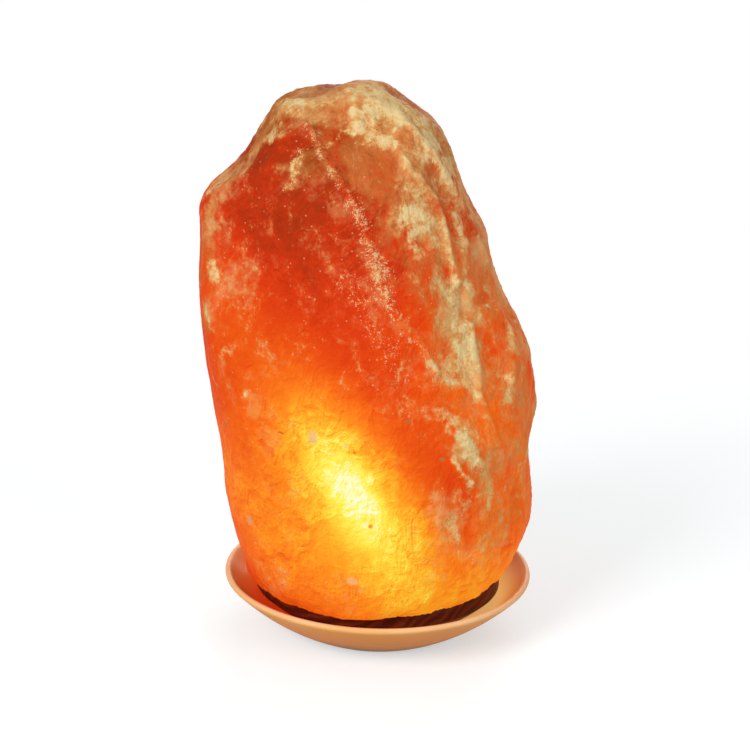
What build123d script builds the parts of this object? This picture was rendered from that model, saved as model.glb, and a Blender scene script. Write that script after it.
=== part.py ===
"""Salt crystal lamp standing in a saucer, modelled piece by piece in millimetres.

A rough block of rock salt, sawn flat underneath and bored for a small bulb, is screwed to a turned
wooden base. The base stands on four rubber feet in a glazed saucer. A spring plate pushed up into
the bore of the base carries the lampholder and its screw-cap bulb.

+Z is up, the viewer stands on the -Y side, and the origin is the centre of the saucer's foot.
"""

from build123d import *
import math
import os

# ---- Saucer -------------------------------------------------------------------------------------
dish_rim_drop = 2.0  # rim below the sawn face of the salt
dish_wall = 3.0  # thickness of the flaring wall
dish_floor = 3.0  # thickness under the base
dish_belly = 2.0  # how far the wall bulges from a straight flare
dish_rim_margin = 15.0  # rim beyond the wooden base
dish_foot_margin = 2.0  # foot beyond the underside of the base
dish_floor_round = 4.0  # inside corner between floor and wall

# ---- Wooden base --------------------------------------------------------------------------------
base_radius = 60.0
base_thickness = 24.0
base_wall_gap = 3.0  # height kept free over the saucer's wall at the widest part
base_belly = 1.2  # how far the lower edge bulges from a straight bevel
base_edge_round = 1.5
bore_radius = 22.0  # bore for the lampholder, through the base and up into the salt
recess_margin = 3.0  # spring plate's recess beyond the bore
recess_depth = 2.5
fixing_band = 12.0  # ring outside the recess for the screws and feet
cord_groove_gap = 0.4  # round the holder's cord outlet
cord_notch_depth = 9.0  # notch up the back edge, measured inwards

# ---- Feet, screws and plugs ---------------------------------------------------------------------
foot_radius = 4.5
foot_height = 3.0
foot_stem_radius = 1.9
foot_stem_length = 5.0
foot_chamfer = 0.6
foot_angles = (60, 120, 240, 300)
screw_angles = (30, 150, 270)
screw_shank_radius = 2.0
screw_head_radius = 4.0
screw_length = 40.0
screw_sink = 0.5  # head below the wood
screw_drive_width = 1.2
plug_radius = 4.0
plug_length = 25.0
plug_hole_spare = 3.0  # hole deeper than the plug
fit_gap = 0.1  # between pieces pushed together

# ---- Salt crystal -------------------------------------------------------------------------------
# Each level: height over the sawn face, then how far the stone reaches to the left, right, front
# and back, and where across it the front bulges furthest.
crystal_levels = (
    (0.0, -63.0, 61.5, -69.0, 54.0, -8.0),
    (14.0, -69.5, 69.0, -72.5, 60.0, -4.0),
    (42.0, -75.5, 74.5, -74.0, 65.0, 0.0),
    (80.0, -80.5, 73.0, -72.0, 65.0, 2.0),
    (112.0, -85.5, 70.5, -68.0, 62.0, 1.0),
    (142.0, -87.5, 56.0, -61.0, 57.0, -4.0),
    (172.0, -87.0, 46.0, -53.0, 51.0, -12.0),
    (187.0, -84.0, 38.5, -48.0, 46.0, -17.0),
    (200.0, -73.0, 33.5, -43.0, 41.0, -19.0),
    (213.0, -62.0, 28.0, -37.0, 35.5, -19.0),
    (226.0, -55.5, 18.5, -28.0, 27.5, -20.0),
    (235.0, -46.0, 6.0, -17.0, 17.5, -21.0),
    (240.0, -34.0, -12.0, -6.0, 7.0, -23.0),
)
# Broad natural faces: a point on each, as seen from the sawn face's centre, and the way it faces.
crystal_faces = (
    ((-56.0, -42.0, 135.0), (-0.60, -0.79, 0.14)),
    ((38.0, -40.0, 142.0), (0.60, -0.74, 0.30)),
    ((-12.0, -38.0, 205.0), (0.10, -0.80, 0.58)),
    ((-50.0, 38.0, 130.0), (-0.64, 0.76, 0.10)),
    ((40.0, 38.0, 120.0), (0.62, 0.75, 0.20)),
)
cavity_headroom = 18.0  # from the top of the bulb to the end of the bore's straight wall
cavity_crown = 8.0  # pointed end of the bore, as the drill leaves it

# ---- Lampholder ---------------------------------------------------------------------------------
clip_plate_thickness = 1.0
clip_plate_gap = 0.8  # between the plate's edge and its recess
clip_sheet = 0.8  # spring arms
clip_arm_width = 8.0
clip_arm_height = 21.0
clip_shoulder_height = 12.6  # where an arm comes nearest to the bore
clip_arm_gap = 0.3  # between an arm's shoulder and the bore
clip_arm_angles = (30, 150, 270)
cup_radius = 16.0
cup_wall = 1.8
outlet_radius = 4.2
outlet_bore_radius = 3.2
outlet_height = 6.5  # axis of the cord outlet over the plate
outlet_end_gap = 0.5  # from the outlet's end to the bore
post_offset = 10.0  # the two screws that hold plate, cup and body together
post_radius = 2.6
clip_screw_radius = 1.5
clip_screw_head_radius = 2.7
clip_screw_head_height = 1.8
clip_screw_grip = 4.0  # thread length in the body
body_flange_height = 2.0
body_wall = 5.0  # sleeve round the screw shell
body_height = 23.0  # sleeve over the cup
body_spigot = 3.0  # part of the body that drops into the cup
body_floor = 5.0  # solid disc under the screw shell
body_edge_round = 1.0
terminal_width = 5.0
terminal_drop = 3.5  # block's height under the body's spigot
terminal_offset = 7.0
terminal_setback = -5.5  # terminals sit in front of the cord's entry
terminal_screw_radius = 1.2
grip_pillar_offset = 6.0
grip_pillar_radius = 2.0
grip_setback = 8.0
grip_bar_thickness = 1.6
grip_bar_width = 4.0
grip_screw_radius = 1.0
grip_screw_head_radius = 1.9
grip_screw_head_height = 1.0
cup_headroom = 0.6  # over the grip's screws

# ---- Bulb, with a 14 mm screw cap ---------------------------------------------------------------
cap_radius = 6.95
cap_sheet = 0.4
cap_length = 17.0
shell_gap = 0.25  # cap to screw shell, each side
shell_sheet = 0.5
shell_eye_radius = 4.8  # hole in the shell's floor, round the centre contact
shell_rim_drop = 1.0  # shell's rim below the sleeve's
tip_radius = 2.3
tip_height = 1.5
tip_round = 1.2
contact_sheet = 0.5
contact_reach = 3.2
contact_width = 3.0
contact_rise = 1.6  # from the shell's floor to the bulb's tip
insulator_height = 3.0
insulator_lip = 0.5  # glass showing round the tip
glass_radius = 13.5
glass_wall = 0.8
glass_neck_gap = 0.35  # between the neck and the cap
glass_neck_length = 6.0
glass_shoulder = 19.0  # neck to widest part
glass_tuck = 3.0  # neck's length inside the cap
stem_height = 13.0  # over the cap's rim
stem_radius = 2.2
stem_flare_height = 6.0
stem_foot_height = 1.0
filament_height = 22.0  # over the cap's rim
filament_span = 7.0
wire_radius = 0.3
wire_foot = 1.2  # each lead wire leaves the stem this far from the middle
filament_radius = 0.45
coil_bow = 1.5  # the filament's middle over its ends

# ---- Levels worked out from the sizes above -----------------------------------------------------
base_under_z = dish_floor + foot_height
base_top_z = base_under_z + base_thickness
recess_radius = bore_radius + recess_margin
base_under_radius = recess_radius + fixing_band
fixing_radius = (recess_radius + base_under_radius) / 2

# The saucer's wall runs from its foot to a half-round rim, whose centre is worked out first.
dish_height = base_top_z - dish_rim_drop
dish_foot_radius = base_under_radius + dish_foot_margin
rim_round = dish_wall / 2
rim_centre = (base_radius + dish_rim_margin - rim_round, dish_height - rim_round)
rim_run = rim_centre[0] - dish_foot_radius
dish_angle = math.atan2(rim_centre[1], rim_run) - math.asin(
    rim_round / math.hypot(rim_centre[1], rim_run)
)
dish_slope = math.tan(dish_angle)


def saucer_inside(radius):
    """Height of the saucer's inner wall at this radius."""
    return dish_slope * (radius - dish_foot_radius) + dish_wall / math.cos(dish_angle)


base_side_z = saucer_inside(base_radius) + base_wall_gap

plate_top_z = base_under_z + recess_depth
plate_bottom_z = plate_top_z - clip_plate_thickness
outlet_z = plate_top_z + outlet_height
outlet_reach = bore_radius - outlet_end_gap
cord_groove_width = 2 * (outlet_radius + cord_groove_gap)
cord_groove_depth = outlet_z + outlet_radius + cord_groove_gap - base_under_z
grip_bar_z = outlet_z + outlet_bore_radius + fit_gap
grip_bar_top_z = grip_bar_z + grip_bar_thickness
body_floor_z = grip_bar_top_z + grip_screw_head_height + cup_headroom
cup_top_z = body_floor_z + body_spigot
cup_inner_radius = cup_radius - cup_wall
body_top_z = cup_top_z + body_height
shell_floor_z = body_floor_z + body_floor
shell_inner_radius = cap_radius + shell_gap
shell_outer_radius = shell_inner_radius + shell_sheet
body_radius = shell_outer_radius + fit_gap + body_wall

tip_z = shell_floor_z + shell_sheet + contact_rise
insulator_z = tip_z + tip_height
cap_z = insulator_z + insulator_height
cap_rim_z = cap_z + cap_length
glass_neck_radius = cap_radius - cap_sheet - glass_neck_gap
glass_neck_z = cap_rim_z - glass_tuck
glass_wide_z = cap_rim_z + glass_neck_length + glass_shoulder
filament_z = cap_rim_z + filament_height

cavity_shoulder_z = glass_wide_z + glass_radius + cavity_headroom
cavity_end_z = cavity_shoulder_z + cavity_crown


def radial_plane(angle):
    """Upright plane through the lamp's axis, with its own x pointing outwards at this angle."""
    a = math.radians(angle)
    return Plane(
        origin=(0, 0, 0),
        x_dir=(math.cos(a), math.sin(a), 0),
        z_dir=(math.sin(a), -math.cos(a), 0),
    )


def on_circle(radius, angles, z):
    """Points on a circle round the lamp's axis."""
    return [
        (radius * math.cos(math.radians(a)), radius * math.sin(math.radians(a)), z)
        for a in angles
    ]


def from_below(points):
    """Planes at these points that face down, for holes drilled upwards."""
    return [Plane(origin=p, z_dir=(0, 0, -1)) for p in points]


# ---- Saucer -------------------------------------------------------------------------------------
floor_corner = dish_foot_radius + (dish_floor - saucer_inside(dish_foot_radius)) / dish_slope
rim_angle = dish_angle + 2 * math.atan(2 * dish_belly / math.hypot(rim_run, rim_centre[1]))
across_rim = (math.sin(rim_angle) * rim_round, -math.cos(rim_angle) * rim_round)
rim_outside = (rim_centre[0] + across_rim[0], rim_centre[1] + across_rim[1])
rim_inside = (rim_centre[0] - across_rim[0], rim_centre[1] - across_rim[1])
rim_crown = (rim_centre[0] - across_rim[1], rim_centre[1] + across_rim[0])


def bellied(start, end):
    """Arc between two points of the saucer's profile that bulges down and outwards."""
    middle = (
        (start[0] + end[0]) / 2 + dish_belly * math.sin(dish_angle),
        (start[1] + end[1]) / 2 - dish_belly * math.cos(dish_angle),
    )
    ThreePointArc(start, middle, end)


with BuildPart() as drip_dish:
    with BuildSketch(Plane.XZ) as dish_profile:
        with BuildLine():
            Polyline((floor_corner, dish_floor), (0, dish_floor), (0, 0), (dish_foot_radius, 0))
            bellied((dish_foot_radius, 0), rim_outside)
            ThreePointArc(rim_outside, rim_crown, rim_inside)
            bellied(rim_inside, (floor_corner, dish_floor))
        make_face()
        inner_corner = dish_profile.vertices().sort_by_distance((floor_corner, dish_floor))[0]
        fillet(inner_corner, dish_floor_round)
    revolve(axis=Axis.Z)

# ---- Wooden base --------------------------------------------------------------------------------
foot_points = on_circle(fixing_radius, foot_angles, base_under_z)
screw_points = on_circle(fixing_radius, screw_angles, base_under_z + screw_sink)

with BuildPart() as wooden_base:
    with BuildSketch(Plane.XZ) as base_profile:
        bevel_run = base_radius - base_under_radius
        bevel_rise = base_side_z - base_under_z
        bevel = math.hypot(bevel_run, bevel_rise)
        belly = (
            base_under_radius + bevel_run / 2 + base_belly * bevel_rise / bevel,
            base_under_z + bevel_rise / 2 - base_belly * bevel_run / bevel,
        )
        with BuildLine():
            Line((0, base_under_z), (base_under_radius, base_under_z))
            ThreePointArc((base_under_radius, base_under_z), belly, (base_radius, base_side_z))
            Polyline(
                (base_radius, base_side_z),
                (base_radius, base_top_z),
                (0, base_top_z),
                (0, base_under_z),
            )
        make_face()
        fillet(base_profile.vertices().sort_by(Axis.Y)[-2:].sort_by(Axis.X)[-1], base_edge_round)
    revolve(axis=Axis.Z)
    with Locations((0, 0, base_top_z)):
        Hole(bore_radius)
    with Locations(*from_below([(0, 0, base_under_z)])):
        Hole(recess_radius, recess_depth)
    with Locations((0, bore_radius, base_under_z)):
        Box(
            cord_groove_width,
            base_radius,
            cord_groove_depth,
            align=(Align.CENTER, Align.MIN, Align.MIN),
            mode=Mode.SUBTRACT,
        )
    with Locations((0, base_radius - cord_notch_depth, base_under_z)):
        Box(
            cord_groove_width,
            base_radius,
            base_thickness,
            align=(Align.CENTER, Align.MIN, Align.MIN),
            mode=Mode.SUBTRACT,
        )
    with Locations(*from_below(foot_points)):
        Hole(foot_stem_radius + fit_gap, foot_stem_length)
    with Locations(*from_below(screw_points)):
        CounterSinkHole(
            screw_shank_radius + fit_gap,
            screw_head_radius + fit_gap,
            base_thickness,
            counter_sink_angle=90,
        )

# ---- Rubber feet, pushed into the base ----------------------------------------------------------
with BuildPart() as base_feet:
    with Locations(*from_below(foot_points)):
        Cylinder(foot_radius, foot_height, align=(Align.CENTER, Align.CENTER, Align.MIN))
        Cylinder(
            foot_stem_radius,
            foot_stem_length - fit_gap,
            align=(Align.CENTER, Align.CENTER, Align.MAX),
        )
    chamfer(base_feet.faces().sort_by(Axis.Z)[0:4].edges(), foot_chamfer)

# ---- Salt crystal -------------------------------------------------------------------------------
with BuildPart() as salt_crystal:
    for height, left, right, front, rear, crest in crystal_levels:
        with BuildSketch(Plane.XY.offset(base_top_z + height)):
            with BuildLine():
                EllipticalCenterArc((crest, 0), right - crest, rear, 0, arc_size=90)
                EllipticalCenterArc((crest, 0), crest - left, rear, 90, arc_size=90)
                EllipticalCenterArc((crest, 0), crest - left, -front, 180, arc_size=90)
                EllipticalCenterArc((crest, 0), right - crest, -front, 270, arc_size=90)
            make_face()
    loft()
    for (x, y, height), facing in crystal_faces:
        split(
            bisect_by=Plane(origin=(x, y, base_top_z + height), z_dir=facing),
            keep=Keep.BOTTOM,
        )
    with BuildSketch(Plane.XZ):
        with BuildLine():
            Polyline(
                (0, base_top_z),
                (bore_radius, base_top_z),
                (bore_radius, cavity_shoulder_z),
                (0, cavity_end_z),
                (0, base_top_z),
            )
        make_face()
    revolve(axis=Axis.Z, mode=Mode.SUBTRACT)
    with Locations(*from_below(on_circle(fixing_radius, screw_angles, base_top_z))):
        Hole(plug_radius + fit_gap, plug_length + plug_hole_spare)

# ---- Plugs and screws that hold the crystal down ------------------------------------------------
with BuildPart() as crystal_plugs:
    with Locations(*from_below(on_circle(fixing_radius, screw_angles, base_top_z))):
        Cylinder(plug_radius, plug_length, align=(Align.CENTER, Align.CENTER, Align.MAX))
        Hole(screw_shank_radius + fit_gap / 2, plug_length)

with BuildPart() as crystal_screws:
    with Locations(*from_below(screw_points)):
        Cylinder(
            screw_shank_radius,
            screw_length,
            align=(Align.CENTER, Align.CENTER, Align.MAX),
        )
        Cone(
            screw_shank_radius,
            screw_head_radius,
            screw_head_radius - screw_shank_radius,
            align=(Align.CENTER, Align.CENTER, Align.MAX),
        )
        Box(
            2 * screw_head_radius,
            screw_drive_width,
            screw_drive_width,
            align=(Align.CENTER, Align.CENTER, Align.MAX),
            mode=Mode.SUBTRACT,
        )

# ---- Spring plate that carries the lampholder ---------------------------------------------------
post_points = [(x, 0, plate_bottom_z) for x in (-post_offset, post_offset)]
arm_foot = cup_radius + clip_sheet
arm_shoulder = (
    math.sqrt((bore_radius - clip_arm_gap) ** 2 - (clip_arm_width / 2) ** 2) - clip_sheet / 2
)

with BuildPart() as spring_clip:
    with Locations((0, 0, plate_bottom_z)):
        Cylinder(
            recess_radius - clip_plate_gap,
            clip_plate_thickness,
            align=(Align.CENTER, Align.CENTER, Align.MIN),
        )
    with Locations(*from_below(post_points)):
        Hole(clip_screw_radius + fit_gap, clip_plate_thickness)
    for angle in clip_arm_angles:
        with BuildSketch(radial_plane(angle)):
            with BuildLine():
                Polyline(
                    (arm_foot, plate_top_z - clip_plate_thickness / 2),
                    (arm_shoulder, plate_top_z + clip_shoulder_height),
                    (arm_foot + clip_sheet, plate_top_z + clip_arm_height),
                )
            trace(line_width=clip_sheet)
        extrude(amount=clip_arm_width / 2, both=True)

# ---- Lower half of the lampholder: wiring cup with the cord's outlet ----------------------------
grip_points = [
    (x, grip_setback, outlet_z) for x in (-grip_pillar_offset, grip_pillar_offset)
]
cup_height = cup_top_z - plate_top_z

with BuildPart() as holder_cup:
    with Locations((0, 0, plate_top_z)):
        Cylinder(cup_radius, cup_height, align=(Align.CENTER, Align.CENTER, Align.MIN))
    with BuildSketch(Plane.XZ.offset(-cup_inner_radius)):
        with Locations((0, outlet_z)):
            Circle(outlet_radius)
    extrude(amount=-(outlet_reach - cup_inner_radius))
    with Locations((0, 0, plate_top_z + cup_wall)):
        Cylinder(
            cup_inner_radius,
            cup_height,
            align=(Align.CENTER, Align.CENTER, Align.MIN),
            mode=Mode.SUBTRACT,
        )
    with Locations(*[(x, 0, plate_top_z) for x in (-post_offset, post_offset)]):
        Cylinder(
            post_radius,
            body_floor_z - plate_top_z,
            align=(Align.CENTER, Align.CENTER, Align.MIN),
        )
    with Locations(*[(x, y, plate_top_z) for x, y, z in grip_points]):
        Cylinder(
            grip_pillar_radius,
            grip_bar_z - plate_top_z,
            align=(Align.CENTER, Align.CENTER, Align.MIN),
        )
    with BuildSketch(Plane.XZ.offset(-(cup_inner_radius - cup_wall))):
        with Locations((0, outlet_z)):
            Circle(outlet_bore_radius)
    extrude(amount=-outlet_reach, mode=Mode.SUBTRACT)
    with Locations(*from_below([(x, 0, plate_top_z) for x in (-post_offset, post_offset)])):
        Hole(clip_screw_radius + fit_gap, body_floor_z - plate_top_z)
    with Locations(*[(x, y, grip_bar_z) for x, y, z in grip_points]):
        Hole(grip_screw_radius + fit_gap / 2, outlet_radius)

# ---- Cord grip inside the cup -------------------------------------------------------------------
with BuildPart() as cord_grip_bar:
    with Locations((0, grip_setback, grip_bar_z)):
        Box(
            2 * (grip_pillar_offset + grip_pillar_radius),
            grip_bar_width,
            grip_bar_thickness,
            align=(Align.CENTER, Align.CENTER, Align.MIN),
        )
    with Locations(*[(x, y, grip_bar_top_z) for x, y, z in grip_points]):
        Hole(grip_screw_radius + fit_gap)

with BuildPart() as cord_grip_screws:
    with Locations(*[(x, y, grip_bar_top_z) for x, y, z in grip_points]):
        Cylinder(
            grip_screw_head_radius,
            grip_screw_head_height,
            align=(Align.CENTER, Align.CENTER, Align.MIN),
        )
        Cylinder(
            grip_screw_radius,
            grip_bar_thickness + outlet_radius - fit_gap,
            align=(Align.CENTER, Align.CENTER, Align.MAX),
        )

# ---- Upper half of the lampholder: insulating sleeve --------------------------------------------
with BuildPart() as holder_body:
    with Locations((0, 0, body_floor_z)):
        Cylinder(
            cup_inner_radius - fit_gap,
            body_spigot,
            align=(Align.CENTER, Align.CENTER, Align.MIN),
        )
    with Locations((0, 0, cup_top_z)):
        Cylinder(cup_radius, body_flange_height, align=(Align.CENTER, Align.CENTER, Align.MIN))
        Cylinder(body_radius, body_height, align=(Align.CENTER, Align.CENTER, Align.MIN))
    with Locations((0, 0, body_top_z)):
        Hole(shell_outer_radius + fit_gap, body_top_z - shell_floor_z)
    with Locations(*from_below([(x, 0, body_floor_z) for x in (-post_offset, post_offset)])):
        Hole(clip_screw_radius + fit_gap / 2, clip_screw_grip + fit_gap)
    fillet(
        holder_body.edges().filter_by(GeomType.CIRCLE).group_by(Axis.Z)[-1].sort_by(SortBy.RADIUS)[-1],
        body_edge_round,
    )

with BuildPart() as clip_screws:
    with Locations(*from_below(post_points)):
        Cylinder(
            clip_screw_head_radius,
            clip_screw_head_height,
            align=(Align.CENTER, Align.CENTER, Align.MIN),
        )
        Cylinder(
            clip_screw_radius,
            body_floor_z - plate_bottom_z + clip_screw_grip,
            align=(Align.CENTER, Align.CENTER, Align.MAX),
        )

# ---- Live parts of the lampholder ---------------------------------------------------------------
with BuildPart() as screw_shell:
    with Locations((0, 0, shell_floor_z)):
        Cylinder(
            shell_outer_radius,
            body_top_z - shell_floor_z - shell_rim_drop,
            align=(Align.CENTER, Align.CENTER, Align.MIN),
        )
        Cylinder(
            shell_eye_radius,
            shell_sheet,
            align=(Align.CENTER, Align.CENTER, Align.MIN),
            mode=Mode.SUBTRACT,
        )
    with Locations((0, 0, body_top_z)):
        Hole(shell_inner_radius, body_top_z - shell_floor_z - shell_sheet)

with BuildPart() as centre_contact:
    with BuildSketch(Plane.XZ):
        with BuildLine():
            Polyline(
                (-contact_reach, shell_floor_z + contact_sheet / 2),
                (contact_reach, shell_floor_z + contact_sheet / 2),
                (0, tip_z - contact_sheet / 2 - fit_gap),
                (-tip_radius, tip_z - contact_sheet - fit_gap),
            )
        trace(line_width=contact_sheet)
    extrude(amount=contact_width / 2, both=True)

terminal_z = body_floor_z - terminal_drop
terminal_points = [
    (x, terminal_setback, terminal_z) for x in (-terminal_offset, terminal_offset)
]
with BuildPart() as terminal_blocks:
    with Locations(*terminal_points):
        Box(
            terminal_width,
            terminal_width,
            terminal_drop,
            align=(Align.CENTER, Align.CENTER, Align.MIN),
        )
        Cylinder(
            terminal_screw_radius + fit_gap,
            terminal_drop,
            align=(Align.CENTER, Align.CENTER, Align.MIN),
            mode=Mode.SUBTRACT,
        )

with BuildPart() as terminal_screws:
    with Locations(*terminal_points):
        Cylinder(
            terminal_screw_radius,
            terminal_drop - fit_gap,
            align=(Align.CENTER, Align.CENTER, Align.MIN),
        )
        Cylinder(
            2 * terminal_screw_radius,
            terminal_screw_radius,
            align=(Align.CENTER, Align.CENTER, Align.MAX),
        )

# ---- Bulb ---------------------------------------------------------------------------------------
with BuildPart() as bulb_tip:
    with Locations((0, 0, insulator_z)):
        Cylinder(tip_radius, tip_height, align=(Align.CENTER, Align.CENTER, Align.MAX))
    fillet(bulb_tip.edges().group_by(Axis.Z)[0], tip_round)

with BuildPart() as cap_insulator:
    with Locations((0, 0, insulator_z)):
        Cone(
            tip_radius + insulator_lip,
            cap_radius - cap_sheet,
            insulator_height,
            align=(Align.CENTER, Align.CENTER, Align.MIN),
        )

with BuildPart() as bulb_cap:
    with Locations((0, 0, cap_z)):
        Cylinder(cap_radius, cap_length, align=(Align.CENTER, Align.CENTER, Align.MIN))
    with Locations((0, 0, cap_rim_z)):
        Hole(cap_radius - cap_sheet, cap_length - cap_sheet)


def glass_outline(inset):
    """Pear-shaped curve of the envelope, from the neck to the crown, moved in by inset."""
    neck = (glass_neck_radius - inset, glass_neck_z)
    neck_top = (glass_neck_radius - inset, cap_rim_z + glass_neck_length)
    wide = (glass_radius - inset, glass_wide_z)
    crown = (0, glass_wide_z + glass_radius - inset)
    Line(neck, neck_top)
    Spline(neck_top, wide, tangents=((0, 1), (0, 1)))
    RadiusArc(wide, crown, -(glass_radius - inset))
    return neck, crown


with BuildPart() as bulb_glass:
    with BuildSketch(Plane.XZ):
        with BuildLine():
            outer_neck, outer_crown = glass_outline(0)
            inner_neck, inner_crown = glass_outline(glass_wall)
            Line(outer_neck, inner_neck)
            Line(outer_crown, inner_crown)
        make_face()
    revolve(axis=Axis.Z)

stem_foot_radius = glass_neck_radius - glass_wall
stem_top_z = cap_rim_z + stem_height
with BuildPart() as bulb_stem:
    with BuildSketch(Plane.XZ):
        with BuildLine():
            Polyline(
                (0, stem_top_z),
                (0, glass_neck_z),
                (stem_foot_radius - fit_gap, glass_neck_z),
                (stem_foot_radius - fit_gap, glass_neck_z + stem_foot_height),
                (stem_radius, glass_neck_z + stem_flare_height),
                (stem_radius, stem_top_z),
                (0, stem_top_z),
            )
        make_face()
    revolve(axis=Axis.Z)

with BuildPart() as lead_wires:
    for side in (-1, 1):
        with BuildLine() as lead_path:
            Line(
                (side * wire_foot, 0, stem_top_z + wire_radius),
                (side * filament_span, 0, filament_z - filament_radius - wire_radius),
            )
        with BuildSketch(Plane(origin=lead_path.line @ 0, z_dir=lead_path.line % 0)):
            Circle(wire_radius)
        sweep(path=lead_path.line)

with BuildPart() as filament_support:
    with Locations((0, 0, stem_top_z)):
        Cylinder(
            wire_radius,
            filament_z + coil_bow - stem_top_z - filament_radius,
            align=(Align.CENTER, Align.CENTER, Align.MIN),
        )

with BuildPart() as filament:
    with BuildLine() as filament_path:
        ThreePointArc(
            (-filament_span, 0, filament_z),
            (0, 0, filament_z + coil_bow),
            (filament_span, 0, filament_z),
        )
    with BuildSketch(Plane(origin=filament_path.line @ 0, z_dir=filament_path.line % 0)):
        Circle(filament_radius)
    sweep(path=filament_path.line)

# ---- Write one file for each piece --------------------------------------------------------------
pieces = {
    "drip_dish": drip_dish,
    "wooden_base": wooden_base,
    "base_feet": base_feet,
    "salt_crystal": salt_crystal,
    "crystal_plugs": crystal_plugs,
    "crystal_screws": crystal_screws,
    "spring_clip": spring_clip,
    "clip_screws": clip_screws,
    "holder_cup": holder_cup,
    "cord_grip_bar": cord_grip_bar,
    "cord_grip_screws": cord_grip_screws,
    "holder_body": holder_body,
    "screw_shell": screw_shell,
    "centre_contact": centre_contact,
    "terminal_blocks": terminal_blocks,
    "terminal_screws": terminal_screws,
    "bulb_tip": bulb_tip,
    "cap_insulator": cap_insulator,
    "bulb_cap": bulb_cap,
    "bulb_glass": bulb_glass,
    "bulb_stem": bulb_stem,
    "lead_wires": lead_wires,
    "filament_support": filament_support,
    "filament": filament,
}
os.makedirs("parts", exist_ok=True)
for label, piece in pieces.items():
    piece.part.label = label
    export_step(piece.part, f"parts/{label}.step")
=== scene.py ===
"""Looks of the salt crystal lamp: lit stone, wooden base, saucer, and holder and bulb inside."""

import math

import bmesh
import bpy
import numpy as np
from mathutils import Matrix, Vector
from mathutils.bvhtree import BVHTree


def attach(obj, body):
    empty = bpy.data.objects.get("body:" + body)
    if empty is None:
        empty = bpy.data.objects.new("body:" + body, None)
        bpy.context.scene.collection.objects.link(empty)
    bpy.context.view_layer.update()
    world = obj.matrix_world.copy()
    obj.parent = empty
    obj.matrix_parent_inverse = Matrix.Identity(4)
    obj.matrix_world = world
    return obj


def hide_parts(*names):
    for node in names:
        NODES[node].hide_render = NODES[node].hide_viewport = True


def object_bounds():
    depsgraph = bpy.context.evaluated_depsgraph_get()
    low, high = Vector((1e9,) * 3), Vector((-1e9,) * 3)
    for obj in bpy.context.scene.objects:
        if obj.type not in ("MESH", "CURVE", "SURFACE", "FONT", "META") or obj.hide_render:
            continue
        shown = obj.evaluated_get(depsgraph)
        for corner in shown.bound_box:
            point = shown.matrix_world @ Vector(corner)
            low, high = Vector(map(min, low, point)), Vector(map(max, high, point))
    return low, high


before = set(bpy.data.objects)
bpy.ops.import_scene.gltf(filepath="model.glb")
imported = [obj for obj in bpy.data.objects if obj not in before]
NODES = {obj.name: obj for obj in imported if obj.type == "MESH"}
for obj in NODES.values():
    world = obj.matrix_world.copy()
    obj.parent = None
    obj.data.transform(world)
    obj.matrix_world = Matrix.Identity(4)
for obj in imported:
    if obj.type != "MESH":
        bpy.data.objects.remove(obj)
cad_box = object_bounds()
MM = 0.001
BLACK, WHITE = (0, 0, 0), (1, 1, 1)


def new_object(name, data):
    item = bpy.data.objects.new(name, data)
    bpy.context.scene.collection.objects.link(item)
    return item


def linear(colour):
    """Linear red, green and blue of a colour, which may be written as six hex digits."""
    if not isinstance(colour, str):
        return colour
    parts = [int(colour[i:i + 2], 16) / 255 for i in (0, 2, 4)]
    return tuple(p / 12.92 if p <= 0.04045 else ((p + 0.055) / 1.055) ** 2.4 for p in parts)


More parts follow.
